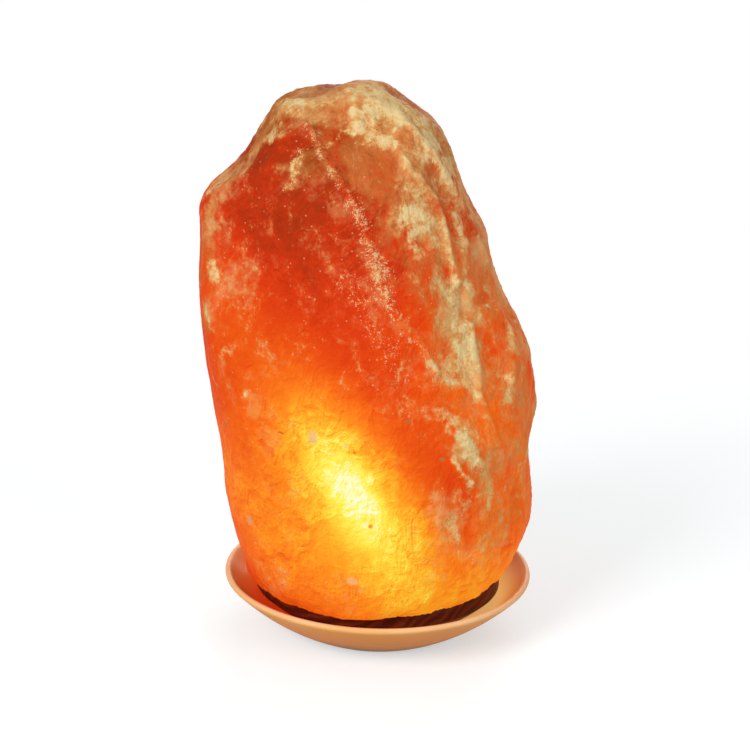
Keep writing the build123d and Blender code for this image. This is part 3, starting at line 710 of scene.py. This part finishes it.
# Thin brownish veils over the clear salt.
VEIL = (
    (11.4, 0.85, (-52, -14, 254), (-40, -25, 254), (-29, -26, 255), (-17, -26, 253), (-4, -24, 253),
     (8, -23, 253)),
    (10.6, 0.85, (-28, -31, 247), (-17, -32, 244), (-3, -36, 237), (4, -41, 225)),
    (7.0, 0.5, (-5, -44, 225), (1, -48, 210), (8, -52, 195), (16, -54, 182)),
    (11.4, 0.75, (10, -35, 232), (20, -37, 215), (25, -41, 197), (30, -44, 179), (34, -48, 161),
     (36, -52, 146)),
    (13.2, 0.6, (29, -24, 221), (39, -28, 198), (50, -25, 174), (59, -28, 155), (63, -36, 129),
     (66, -31, 102), (64, -36, 79)),
    (5.7, 0.75, (-70, -15, 230), (-77, -7, 225), (-82, -13, 215), (-84, -14, 201), (-85, -15, 173),
     (-83, -18, 149)),
    (4.0, 0.45, (-81, -21, 140), (-79, -19, 120)),
    (7.9, 0.75, (36, -62, 123), (43, -59, 110), (46, -57, 102)),
    (5.3, 0.6, (35, -65, 90), (39, -62, 86), (33, -66, 75), (34, -66, 65)),
    (6.2, 0.4, (56, -48, 93), (59, -45, 72), (57, -47, 60)),
    (4.4, 0.6, (-55, -16, 247), (-47, -22, 251), (-42, -29, 246)),
)
# Tan films that frost the salt without hiding its colour.
FILM = (
    (9, 0.95, (8, -25, 250), (16, -30, 232), (20, -38, 214), (25, -39, 202), (30, -41, 188),
     (33, -43, 175), (37, -46, 160), (40, -47, 148), (43, -50, 137)),
    (12, 0.68, (-50, -10, 256), (-35, -18, 261), (-15, -18, 262), (5, -16, 260), (20, -12, 254)),
    (14, 0.95, (6, -14, 260), (20, -8, 256), (34, -4, 240), (42, -4, 220), (48, -4, 204)),
    (15, 0.62, (50, -12, 192), (60, -12, 172), (70, -10, 152), (74, -8, 130), (72, -12, 105),
     (71, -12, 85)),
    (7, 0.9, (-76, -8, 226), (-68, -7, 234), (-61, -8, 243), (-53, -6, 255), (-44, -6, 264)),
    (11, 0.95, (-42, -4, 266), (-30, -3, 269), (-18, -2, 270), (-4, 0, 270)),
    (10, 0.85, (36, -63, 120), (44, -58, 110), (49, -54, 102)),
    (8, 0.62, (28, -68, 88), (33, -66, 78), (35, -65, 68), (31, -66, 58)),
    (4, 0.62, (50, -54, 84), (53, -52, 75)),
    (4, 0.62, (59, -45, 72), (62, -41, 63), (63, -37, 55)),
    (6, 0.55, (64, -22, 148), (67, -24, 132), (66, -32, 114), (68, -25, 98), (67, -28, 84)),
    (9, 0.45, (47, -57, 100), (52, -52, 92), (56, -48, 84)),
    (8, 0.30, (-79, -18, 196), (-77, -24, 175), (-76, -27, 162), (-75, -31, 148), (-72, -36, 128)),
    (7, 0.5, (-70, -15, 230), (-80, -10, 220), (-83, -15, 200)),
)
# Half-dry areas where frost and bare salt mingle.
BLOOM = (
    (12, 0.55, (-14, -20, 260), (4, -20, 256), (30, -12, 240), (38, -12, 222), (46, -14, 204)),
    (13, 0.85, (-4, -12, 265), (8, -14, 260), (18, -16, 251), (26, -14, 240)),
    (8, 0.75, (14, -18, 252), (20, -21, 243), (25, -23, 232), (29, -25, 220), (33, -28, 208)),
    (9, 0.55, (16, -30, 232), (20, -38, 214), (28, -41, 195), (33, -44, 175), (38, -46, 155)),
    (5, 0.45, (-58, -10, 246), (-46, -12, 258), (-32, -14, 264)),
    (7, 0.5, (40, -61, 114), (46, -57, 102), (50, -55, 92)),
    (8, 0.35, (62, -24, 160), (66, -24, 148), (66, -28, 134)),
)
# Places where the salt is bare of film and frost.
BARE = (
    (7, 0.7, (-52, -20, 242), (-46, -24, 246), (-39, -26, 251)),
    (6, 0.4, (-28, -30, 250), (-22, -34, 244)),
)
# Milky clouds just under the surface.
MILK = (
    (13, 0.8, (55, -35, 152), (62, -35, 132), (61, -39, 112), (57, -46, 96)),
    (4.4, 0.7, (-25, -46, 222), (-19, -47, 220), (-14, -49, 215)),
    (5.3, 0.5, (-39, -41, 228), (-32, -41, 231), (-28, -40, 235)),
    (5.3, 0.45, (-11, -54, 198), (-7, -57, 187), (1, -61, 172), (8, -63, 161)),
    (7.0, 0.45, (-22, -57, 182), (-15, -60, 173), (-20, -61, 167)),
    (6.2, 0.45, (-51, -55, 91), (-44, -60, 86), (-37, -64, 93)),
    (7.0, 0.5, (-20, -71, 54), (-13, -72, 49), (-15, -71, 41)),
    (6.0, 0.6, (-56, -44, 156), (-47, -51, 151), (-55, -46, 144)),
    (5.3, 0.6, (-73, -33, 139), (-66, -40, 132)),
    (7.0, 0.55, (-60, -43, 138), (-54, -50, 124), (-50, -54, 110)),
    (6.2, 0.4, (11, -72, 106), (18, -71, 101), (23, -70, 96)),
    (4.4, 0.45, (-59, -35, 192), (-62, -34, 186)),
    (4.0, 0.4, (-72, -33, 149), (-75, -29, 158)),
    (6.2, 0.35, (-39, -48, 207), (-29, -51, 203)),
)
# Hollows and pockets: how deep they go in mm.
HOLLOWS = (
    (3.1, 1.2, (6, -52, 196), (9, -51, 198)),
    (2.6, 1.8, (44, -34, 176), (47, -27, 176)),
    (2.6, 0.9, (15, -44, 208), (17, -44, 206)),
    (4.0, 1.0, (21, -26, 234), (24, -26, 229)),
    (2.6, 0.8, (0, -20, 257), (2, -21, 256)),
    (3.1, 1.0, (30, -30, 211), (33, -31, 204)),
    (2.2, 0.9, (37, -18, 212), (39, -22, 205)),
    (2.6, 0.9, (35, -38, 181), (37, -41, 172)),
    (3.1, 0.9, (15, -63, 156), (12, -65, 153)),
    (4.0, 1.0, (57, -17, 167), (60, -16, 161)),
    (2.6, 1.0, (64, -37, 82), (67, -33, 75)),
    (3.5, 0.8, (54, -49, 99), (56, -48, 91)),
    (3.1, 0.7, (-22, -68, 119), (-19, -69, 114)),
)
# Raised edges and ridges: how far they stand out in mm.
EDGES = (
    (1.8, 1.2, *CROWN_LIP, (26, -33, 213), (28, -35, 205), (30, -37, 195), (33, -39, 186)),
    (2.2, 1.0, (-18, -12, 267), (-16, -20, 261), (-14, -24, 254)),
    (2.2, 1.0, (5, -18, 259), (14, -21, 250), (23, -21, 238), (30, -19, 225), (35, -17, 217),
     (39, -18, 209)),
    (1.8, 1.0, (38, -8, 217), (40, -13, 210), (44, -17, 200), (47, -16, 189)),
    (1.8, 1.1, (40, -41, 166), (41, -44, 155), (43, -46, 147), (44, -49, 137), (46, -51, 129),
     (49, -52, 120), (53, -50, 112)),
    (1.3, 1.2, *CURL),
    (2.2, 1.0, (52, -22, 171), (58, -25, 159), (60, -30, 150), (59, -36, 139)),
    (1.8, 0.9, (-38, -25, 255), (-33, -30, 250), (-26, -37, 238), (-18, -44, 228), (-11, -49, 215),
     (-6, -53, 201), (-2, -56, 189), (5, -59, 176), (16, -60, 164), (24, -60, 150)),
    (1.8, 0.8, (-58, -14, 245), (-53, -21, 246), (-44, -26, 249)),
    (2.2, 0.8, *FLAKE),
    (1.8, 0.8, (65, -33, 108), (65, -34, 93), (66, -32, 80)),
    (1.8, 0.8, (3, -71, 120), (7, -72, 106), (6, -73, 92)),
    (2.2, 0.8, (16, -72, 92), (20, -71, 82), (18, -72, 70)),
)
# Grains along the long vein.
VEIN = (
    (1.8, 0.9, (-39, -24, 256), (-33, -30, 250), (-31, -34, 243), (-26, -37, 238), (-22, -41, 233),
     (-18, -44, 228), (-14, -46, 222)),
    (2.7, 0.95, (-14, -46, 222), (-11, -49, 215), (-9, -51, 208), (-6, -53, 201)),
    (4.0, 1.0, (-6, -53, 201), (-2, -54, 196), (-2, -56, 189), (1, -58, 183)),
    (2.3, 0.9, (1, -58, 183), (5, -59, 176), (10, -60, 168), (16, -60, 164)),
    (1.8, 0.75, (16, -60, 164), (21, -61, 156), (24, -60, 150), (23, -63, 145)),
    (2.0, 0.8, (-41, -31, 244), (-43, -35, 236), (-45, -38, 228)),
    (5.5, 0.38, (-18, -55, 192), (-8, -59, 178), (0, -62, 164), (8, -66, 150)),
)
# Where the outline draws in: reach in mm, how far in mm, and points in mm.
DRAWN_IN = (
    (15, 4.0, (-54, -6, 250), (-44, -2, 261), (-30, 0, 267)),
    (13, 3.0, (-64, -8, 240), (-74, -8, 227)),
    (12, 2.0, (6, 0, 264), (20, 2, 259)),
    (22, 1.6, (-66, -12, 92), (-60, -12, 56)),
    (14, 2.2, (55, -22, 54), (52, -26, 42)),
    (18, 3.4, (72, 0, 168), (76, 0, 150), (76, 0, 132)),
)
# Where the foot of the stone swells over the wooden base.
SWELLS = (
    (9, 3.0, (-34, -46, 33), (-48, -34, 33), (-58, -16, 33)),
)


def near_line(points, line, width):
    """1 on a broken line through space, down to 0 at the given width to either side."""
    best = np.full(len(points), 1e9)
    line = np.asarray(line, float)
    for a, b in zip(line[:-1], line[1:]):
        run = b - a
        t = np.clip((points - a) @ run / (run @ run), 0, 1)
        gap = points - a - t[:, None] * run
        best = np.minimum(best, (gap * gap).sum(1))
    return step(width, 0.0, np.sqrt(best))


def marked(p, rows, reach=2.0):
    """Strength of the strongest mark at each point; a mark fades out at its width times reach."""
    best = np.zeros(len(p))
    for half, amount, *line in rows:
        best = np.maximum(best, amount * near_line(p, line, half * reach))
    return best


def light_through(p):
    """How brightly the bulb shines through the stone at each point, from about 0.1 to 1."""
    x, y, z = p.T

    def side(bells, shoulder_dim, crown_dim):
        light = LEAST_LIGHT
        for height, across, up, long, short, turn in bells:
            u = (x - across) * math.cos(turn) + (z - up) * math.sin(turn)
            w = (z - up) * math.cos(turn) - (x - across) * math.sin(turn)
            light = light + height * np.exp(-((u / long) ** 2 + (w / short) ** 2))
        return light - shoulder_dim * step(*SHOULDER, z) - crown_dim * step(*CROWN, z)

    behind = step(*FRONT_TO_REAR, y)
    return side(FRONT_LIGHT, 0.04, 0.05) * (1 - behind) + side(REAR_LIGHT, 0.05, 0.04) * behind


def wander(p, far, near):
    """Points shifted along smooth random waves, so that marks drawn as lines look grown."""
    rng = np.random.default_rng(11)
    out = p.copy()
    for wave, amount in ((26, far), (11, far * 0.6), (5.0, near), (2.6, near * 0.6)):
        for _ in range(5):
            way = rng.normal(size=3)
            way *= 2 * math.pi / (wave * np.linalg.norm(way) * rng.uniform(0.8, 1.3))
            push = rng.normal(size=3) * amount * 0.36
            out += np.sin(p @ way + rng.uniform(0, 6.28))[:, None] * push
    return out


def stone_marks(p):
    """Frost, vein, veil and milk of the stone at each point."""
    x, y, z = wander(p, 5.0, 1.5).T
    slant = z + 0.25 * np.clip(x + 50, 0, 90)
    crown = step(228, 250, slant)
    top = step(240, 256, z)
    flank = step(20, 44, x) * step(40, 70, z)
    rear = step(0, 30, y)
    fine, broad = wander(p, 1.2, 1.0), wander(p, 4.5, 1.6)
    bare = marked(broad, BARE)
    frost = np.maximum(0.02 + 0.30 * top + 0.12 * flank + 0.12 * rear, marked(fine, FROST, 2.4))
    thin = np.maximum(0.34 * top + 0.20 * flank + 0.2 * rear, 0.6 * marked(fine, FROST, 4.0))
    veil = np.maximum(0.75 * crown, marked(broad, VEIL))
    veil = np.maximum(veil, 0.45 * flank + 0.25 * rear)
    milk = np.maximum(0.10 + 0.15 * rear, marked(broad, MILK))
    return {
        "frost": np.maximum(frost, marked(broad, BLOOM)) - bare,
        "thin": np.maximum(thin, marked(broad, FILM)) - bare,
        "vein": marked(fine, VEIN, 1.8),
        "stain": np.clip(veil * step(35, 75, z) - 1.2 * bare, 0, 1),
        "milk": np.maximum(milk, 0.6 * marked(fine, VEIN, 5.0)),
    }


def stone_roughness(p):
    """How broken the surface is: more on the crown and the right side than on the smooth front."""
    x, y, z = p.T
    crown = step(205, 245, z)
    flank = step(20, 46, x) * step(30, 70, z)
    back = step(5, 35, y) * (0.35 + 0.35 * step(90, 200, z))
    return np.clip(0.15 + 0.75 * np.maximum(np.maximum(crown, flank), back), 0, 1)


def roughening():
    """Works facets, scallops, ripples and grain into the stone along its normals."""
    r = Recipe("roughen_stone", {
        "Facet depth": 4.0 * MM, "Scallop depth": 5.0 * MM, "Ripple depth": 2.6 * MM,
        "Grain depth": 1.1 * MM,
    })
    place, rough, free = r.position(), r.named("rough"), r.named("free")
    tall = r.vector("MULTIPLY", place, (1.0, 1.0, 0.55))
    sway = r.vector("MULTIPLY", r.noise(30, at=place, out="Color"), (0.018, 0.018, 0.018))
    cells = r.cells(42, r.vector("ADD", tall, sway), "SMOOTH_F1", Smoothness=0.25)["Distance"]
    facets = r.centred(r.noise(17, 2, 0.45, at=place), r.given["Facet depth"], 0.52)
    pits = r.centred(cells, r.times(r.given["Scallop depth"], rough), 0.48)
    ripples = r.centred(r.noise(75, 3, warp=0.4, at=tall),
                        r.times(r.given["Ripple depth"], r.add(rough, 0.35)), 0.52)
    grain = r.centred(r.noise(260, 3, 0.55, at=place),
                      r.times(r.given["Grain depth"], r.add(rough, 0.5)))
    depth = r.add(r.add(facets, pits), r.add(ripples, grain))
    normal = r.node("GeometryNodeInputNormal").outputs[0]
    return r.end(r.shift(r.given["Geometry"], r.scaled(normal, r.times(depth, free))))


def inside_parts(p):
    """True where a point in millimetres lies on the bore or in a plug's hole."""
    x, y, z = p.T
    hidden = (np.hypot(x, y) < BORE + NEAR) & (z < CAVITY_END + NEAR)
    for angle in (30, 150, 270):
        a = math.radians(angle)
        away = np.hypot(x - PLUG_RING * math.cos(a), y - PLUG_RING * math.sin(a))
        hidden |= (away < PLUG_HOLE + NEAR) & (z < PLUG_TOP + NEAR)
    return hidden


def wrap_in_grid(stone):
    """Gives the stone an even grid of points, all on the CAD stone's surface."""
    cad = bmesh.new()
    cad.from_mesh(stone.data)
    skin = BVHTree.FromBMesh(cad)
    cad.free()
    remesh = stone.modifiers.new("grid", "REMESH")
    remesh.mode = "VOXEL"
    remesh.voxel_size = STONE_GRID
    settle(stone)
    p = np.array([skin.find_nearest(Vector(v))[0] for v in points_of(stone.data)])
    move_points(stone.data, p)
    return p / MM


def soften(stone, outer):
    """Smooths the stone's facets, except on the sawn face and in the bores."""
    group = stone.vertex_groups.new(name="outer")
    for i in np.nonzero(outer > 0)[0]:
        group.add([int(i)], float(outer[i]), "REPLACE")
    smooth = stone.modifiers.new("soften", "SMOOTH")
    smooth.factor = 0.5
    smooth.iterations = SOFTEN_STEPS
    smooth.vertex_group = "outer"
    settle(stone)
    return points_of(stone.data) / MM


def shaped(p, normal, outer, sawn):
    """Points with ridges, hollows, drawn-in places and a chipped sawn edge, inside the CAD box."""
    lift = EDGE_GAIN * marked(p, EDGES) - HOLLOW_GAIN * marked(p, HOLLOWS)
    lift += VEIN_GAIN * marked(p, VEIN) - marked(p, DRAWN_IN, 1.0)
    swell = marked(p, SWELLS, 1.0) * step(BASE_TOP - 0.5, BASE_TOP + 2, p[:, 2])
    p = p + normal * (lift * outer + swell)[:, None]
    away = np.hypot(p[:, 0], p[:, 1])
    turn = np.arctan2(p[:, 1], p[:, 0])
    chips = sum(a * np.sin(n * turn + b + 1.3 * np.sin(m * turn)) for n, m, a, b in CHIP_WAVES)
    chips = np.clip(0.35 + chips, 0, 1) * step(44, 58, away) * (1 - 0.8 * (swell > 0.5))
    inward = CHIP_DEPTH * chips * step(BASE_TOP + 7, BASE_TOP + 0.5, p[:, 2])
    p[:, :2] *= (1 - inward / np.maximum(away, 1))[:, None]
    p = np.clip(p, np.array(cad_box[0]) / MM, np.array(cad_box[1]) / MM)
    p[:, 2] = np.where(sawn, BASE_TOP, np.maximum(p[:, 2], BASE_TOP))
    return p


def make_stone(finish):
    """The lit block of salt, worked over from the CAD stone."""
    stone = welded_copy("salt_crystal", "salt_crystal_stone")
    p = wrap_in_grid(stone)
    sawn = p[:, 2] < BASE_TOP + 0.3
    outer = np.where(inside_parts(p) | sawn, 0.0, 1.0) * step(BASE_TOP, BASE_TOP + 5, p[:, 2])
    before = soften(stone, outer)
    store(stone.data, "free", outer)
    store(stone.data, "rough", stone_roughness(before))
    roughening().work(stone, finish)

    mesh = stone.data
    p = shaped(points_of(mesh) / MM, points_of(mesh, "normal"), outer, sawn)
    move_points(mesh, p * MM)
    mesh.shade_smooth()
    normal = points_of(mesh, "normal")
    marks = stone_marks(p)
    marks["light"] = light_through(p)
    marks["relief"] = np.where(outer > 0, ((p - before) * normal).sum(1), 0)
    marks["edge"] = np.clip(2.5 * crest_of(mesh, p, normal), -1, 1) * outer
    for name, values in marks.items():
        store(mesh, name, values)
    declare(stone, "lamp", "salt_crystal")


# ---- Saucer -------------------------------------------------------------------------------------
FOOT = 39.0  # mm, radius of the saucer's foot
RIM_AT, RIM_HEIGHT = 73.5, 26.5  # middle of the half-round rim
WALL = 3.0
BELLY = 2.0  # how far the wall bows out
CORNER_RUN, CORNER_ROW = 5.0, -6  # where the inside corner's rounding starts on floor and wall
GLOW_PAINT_REACH = (73.0, 58.0)  # distances from the axis between which the painted glow of the stone's light comes in
WALL_STEPS, RIM_STEPS, CORNER_STEPS = 28, 14, 8
SAUCER_STEPS = 224


def lathe(name, profile, steps, finish):
    """Turned piece; its profile is radii and heights in mm, from axis to axis or in a loop."""
    work = bmesh.new()
    turns = [2 * math.pi * i / steps for i in range(steps)]
    rings = [
        [work.verts.new((radius * MM * math.cos(t), radius * MM * math.sin(t), height * MM))
         for t in (turns if radius > 1e-6 else turns[:1])]
        for radius, height in profile
    ]
    if profile[0][0] > 1e-6:
        rings.append(rings[0])
    for low, high in zip(rings[:-1], rings[1:]):
        for i in range(steps):
            pair = (i, (i + 1) % steps)
            corners = [low[k % len(low)] for k in pair] + [high[k % len(high)] for k in pair[::-1]]
            work.faces.new(list(dict.fromkeys(corners)))
    bmesh.ops.recalc_face_normals(work, faces=work.faces)
    piece = object_of(work, name)
    piece.data.shade_smooth()
    piece.data.materials.append(finish)
    return piece


def arc_points(start, end, bulge, count):
    """Points on a shallow arc from start to end, which bows out to the right of its direction."""
    run = (end[0] - start[0], end[1] - start[1])
    length = math.hypot(*run)
    side = (run[1] / length, -run[0] / length)
    radius = (length * length / 4 + bulge * bulge) / (2 * bulge)
    out = []
    for i in range(count + 1):
        t = i / count - 0.5
        rise = math.sqrt(radius * radius - (t * length) ** 2) - (radius - bulge)
        out.append(tuple(start[k] + run[k] * (t + 0.5) + side[k] * rise for k in (0, 1)))
    return out


def saucer_profile():
    """Flat foot, bellied wall, half-round rim, and inside a rounded corner and a flat floor."""
    half = WALL / 2
    run = RIM_AT - FOOT
    reach = math.hypot(run, RIM_HEIGHT)
    angle = math.atan2(RIM_HEIGHT, run) - math.asin(half / reach)
    tip = angle + 2 * math.atan(2 * BELLY / reach)
    across = (math.sin(tip) * half, -math.cos(tip) * half)
    outside = (RIM_AT + across[0], RIM_HEIGHT + across[1])
    inside = (RIM_AT - across[0], RIM_HEIGHT - across[1])
    corner = (FOOT + (WALL - WALL / math.cos(angle)) / math.tan(angle), WALL)
    start = math.atan2(across[1], across[0])
    rim = [
        (RIM_AT + half * math.cos(start + math.pi * i / RIM_STEPS),
         RIM_HEIGHT + half * math.sin(start + math.pi * i / RIM_STEPS))
        for i in range(1, RIM_STEPS)
    ]
    inner = arc_points(corner, inside, BELLY, WALL_STEPS)[::-1]
    a, b, c = inner[CORNER_ROW], corner, (corner[0] - CORNER_RUN, WALL)
    rounding = [
        tuple((1 - t) ** 2 * a[k] + 2 * t * (1 - t) * b[k] + t * t * c[k] for k in (0, 1))
        for t in (i / CORNER_STEPS for i in range(CORNER_STEPS + 1))
    ]
    foot = [(0, 0), (20, 0), (36, 0), (38.4, 0)]
    floor = [(30, WALL), (15, WALL), (0, WALL)]
    wall = arc_points((FOOT, 0), outside, BELLY, WALL_STEPS)
    return foot + wall + rim + inner[:CORNER_ROW] + rounding + floor


def make_saucer(finish):
    """Glazed saucer, whose inside carries a painted glow for the stone's light."""
    saucer = lathe("drip_dish_glazed", saucer_profile(), SAUCER_STEPS, finish)
    p = points_of(saucer.data) / MM
    inside = points_of(saucer.data, "normal")[:, 2] > 0.3
    painted_glow = inside * step(*GLOW_PAINT_REACH, np.hypot(p[:, 0], p[:, 1])) * (p[:, 2] > 2.0)
    store(saucer.data, "painted_glow", painted_glow)
    declare(saucer, "dish", "drip_dish")


# ---- Holder, bulb and fixings -------------------------------------------------------------------
SHARP = 35  # degrees
PITCH = 2.822  # mm a turn of the 14 mm thread
RUN_OUT = 1.2 * MM  # over which the thread fades in and out
CUP_ROWS, CUP_STEPS = 72, 96
COIL_ARC = {"Start": (-7.0, 0, 72.1), "Middle": (0, 0, 73.6), "End": (7.0, 0, 72.1)}  # mm


def soft_edged(piece, sharp):
    """Smooth shading, except across edges sharper than the given angle in degrees."""
    piece.data.shade_smooth()
    piece.data.set_sharp_from_angle(angle=math.radians(sharp))


def round_edges(piece, width):
    """Rounds off a piece's outer edges."""
    work = bmesh.new()
    work.from_mesh(piece.data)
    bmesh.ops.dissolve_limit(
        work, angle_limit=math.radians(0.5), verts=work.verts, edges=work.edges
    )
    weight = work.edges.layers.float.new("bevel_weight_edge")
    for edge in work.edges:
        if len(edge.link_faces) == 2 and edge.calc_face_angle_signed(0) > math.radians(SHARP):
            edge[weight] = 1.0
    work.to_mesh(piece.data)
    work.free()
    rounding = piece.modifiers.new("rounding", "BEVEL")
    rounding.limit_method = "WEIGHT"
    rounding.width = width * MM
    rounding.segments = 2
    settle(piece)


def refine(body, *rows, sharp=SHARP):
    """CAD nodes with smooth curves: each row is a node, slot, finish and its edges' rounding; the
    slot is not used.
    """
    for node, slot, finish, width in rows:
        piece = welded_copy(node, node + "_finished")
        if width:
            round_edges(piece, width)
        piece.data.materials.append(finish)
        soft_edged(piece, sharp)
        declare(piece, body, node)


def press_thread(depth, start, end, wall):
    """Presses a right-handed round thread into the wall of a turned cup, inwards only."""
    r = Recipe("press_thread", {
        "Pitch": PITCH * MM, "Depth": depth * MM, "Start": start * MM, "End": end * MM,
        "Wall radius": wall * MM,
    })
    low, high = r.given["Start"], r.given["End"]
    x, y, z = r.split(r.position())
    away = r.math("SQRT", r.add(r.times(x, x), r.times(y, y)))
    turns = r.times(r.math("DIVIDE", z, r.given["Pitch"]), 2 * math.pi)
    phase = r.math("SUBTRACT", turns, r.math("ARCTAN2", y, x))
    wave = r.times(r.math("SUBTRACT", 1.0, r.math("COSINE", phase)), 0.5)
    rise = r.mapped(z, low, r.add(low, RUN_OUT))
    fall = r.mapped(z, r.math("SUBTRACT", high, RUN_OUT), high, 1.0, 0.0)
    on_wall = r.math("GREATER_THAN", away, r.given["Wall radius"])
    push = r.times(r.times(wave, r.given["Depth"]), r.times(rise, fall, on_wall))
    inward = r.math("DIVIDE", r.times(push, -1.0), r.math("MAXIMUM", away, 1e-6))
    offset = r.combine(r.times(x, inward), r.times(y, inward), 0.0)
    return r.end(r.shift(r.given["Geometry"], offset))


def threaded_cup(body, node, finish, radius, sheet, bottom, top, eye, thread):
    """Sheet-metal cup with a pressed thread; its floor is closed, or has an eye in it."""
    rows = [i / CUP_ROWS for i in range(CUP_ROWS + 1)]
    outside = [(radius, bottom + (top - bottom) * t) for t in rows]
    inside = [(radius - sheet, top - (top - bottom - sheet) * t) for t in rows]
    profile = [(eye, bottom)] + outside + inside + [(eye, bottom + sheet)]
    cup = lathe(node + "_threaded", profile, CUP_STEPS, finish)
    press_thread(*thread).work(cup, finish)
    soft_edged(cup, sharp=50)
    declare(cup, body, node)


def wind_coil(turns, coil, wire):
    """Winds a fine wire round a shallow arc between three points."""
    r = Recipe("wind_coil", {"Turns": turns, "Coil radius": coil * MM, "Wire radius": wire * MM})
    points = {key: tuple(c * MM for c in place) for key, place in COIL_ARC.items()}
    arc = r.node("GeometryNodeCurveArc", {"Resolution": 900, **points}, mode="POINTS")
    along = r.node("GeometryNodeSplineParameter").outputs["Factor"]
    angle = r.times(along, r.given["Turns"], 2 * math.pi)
    swing, sway = (r.times(r.math(k, angle), r.given["Coil radius"]) for k in ("COSINE", "SINE"))
    tangent = r.node("GeometryNodeInputTangent").outputs[0]
    side = r.scaled(r.vector("CROSS_PRODUCT", tangent, (0.0, 1.0, 0.0)), swing)
    wound = r.shift(arc.outputs["Curve"], r.vector("ADD", side, r.combine(0.0, sway, 0.0)))
    ring = {"Resolution": 6, "Radius": r.given["Wire radius"]}
    tube = r.node("GeometryNodeCurveToMesh", {
        "Curve": wound, "Fill Caps": True,
        "Profile Curve": r.node("GeometryNodeCurvePrimitiveCircle", ring).outputs["Curve"],
    })
    return r.end(tube.outputs[0])


def make_fixings():
    """Wooden base, its feet, and the screws and plugs that hold it to the stone."""
    rubber = plain_finish("black_rubber", (0.022, 0.022, 0.022), 0.7, 700, 0.0001)
    zinc = metal_finish("zinc_screws", (0.60, 0.58, 0.52), 0.28, (1, 1, 0.2), (0.36, 0.33, 0.27))
    nylon = plain_finish("grey_nylon", (0.30, 0.30, 0.285), 0.5)
    refine(
        "lamp",
        ("wooden_base", "wood", wood_finish(), 0.5),
        ("base_feet", "rubber", rubber, 0.5),
        ("crystal_screws", "screw_steel", zinc, 0.12),
        ("crystal_plugs", "plug_nylon", nylon, 0.2),
    )
    return zinc


def make_holder(zinc):
    """Lampholder with its spring plate, live parts and cord grip."""
    plastic = plain_finish("pale_holder_plastic", (0.66, 0.645, 0.60), 0.38)
    spring = metal_finish("spring_steel", (0.40, 0.40, 0.41), 0.32, (0.15, 1, 1))
    brass = metal_finish("brass_parts", (0.72, 0.47, 0.17), 0.22, (1, 1, 0.2), (0.42, 0.24, 0.08))
    refine(
        "holder",
        ("spring_clip", "spring_steel", spring, 0.12),
        ("clip_screws", "screw_steel", zinc, 0.12),
        ("holder_cup", "holder_plastic", plastic, 0.35),
        ("cord_grip_bar", "holder_plastic", plastic, 0.25),
        ("cord_grip_screws", "screw_steel", zinc, 0.12),
        ("holder_body", "holder_plastic", plastic, 0.35),
        ("centre_contact", "brass", brass, 0.05),
        ("terminal_blocks", "brass", brass, 0.15),
        ("terminal_screws", "screw_steel", zinc, 0.1),
    )
    threaded_cup("holder", "screw_shell", brass, radius=7.7, sheet=0.25, bottom=26.5,
                 top=46.5, eye=4.8, thread=(0.25, 29.0, 45.5, 7.0))


def make_bulb():
    """Small pear-shaped bulb: threaded cap, insulator, tip, glass, stem, wires and filament."""
    nickel = metal_finish("nickel_cap", (0.66, 0.64, 0.60), 0.16, (1, 1, 0.15), (0.50, 0.46, 0.38))
    wire = metal_finish("nickel_wire", (0.55, 0.53, 0.50), 0.3)
    glass = glass_finish()
    black = plain_finish("black_cap_glass", (0.012, 0.012, 0.016), 0.08, 200, 0.00003)
    solder = metal_finish("solder_tip", (0.52, 0.52, 0.52), 0.35)
    refine("bulb_carrier", ("cap_insulator", "black_glass", black, 0.1),
           ("bulb_tip", "solder", solder, 0.0))
    threaded_cup("bulb", "bulb_cap", nickel, radius=6.95, sheet=0.4, bottom=33.1,
                 top=50.1, eye=0.0, thread=(0.42, 34.2, 45.8, 6.0))
    refine("bulb", ("bulb_glass", "clear_glass", glass, 0.0), sharp=60)
    refine("bulb", ("bulb_stem", "clear_glass", glass, 0.0), ("lead_wires", "nickel", wire, 0.0),
           ("filament_support", "nickel", wire, 0.0))
    coil = new_object("filament_coil", bpy.data.meshes.new("filament_coil"))
    wind_coil(turns=46, coil=0.34, wire=0.09).work(coil, filament_finish())
    coil.data.shade_smooth()
    declare(coil, "bulb", "filament")


# ---- Everything together ------------------------------------------------------------------------
bpy.context.scene.view_settings.view_transform = "Standard"
place_camera()
light_world(level=0.27)
soft_lamp("key_light", (-0.75, -0.95, 0.70), size=0.6, power=15.5)
soft_lamp("fill_light", (0.9, -0.75, 0.45), size=0.8, power=6.5)
soft_lamp("back_light", (0.2, 1.1, 0.6), size=0.8, power=8.0)
make_floor()

make_stone(salt_finish())
make_saucer(glaze_finish())
make_holder(make_fixings())
make_bulb()
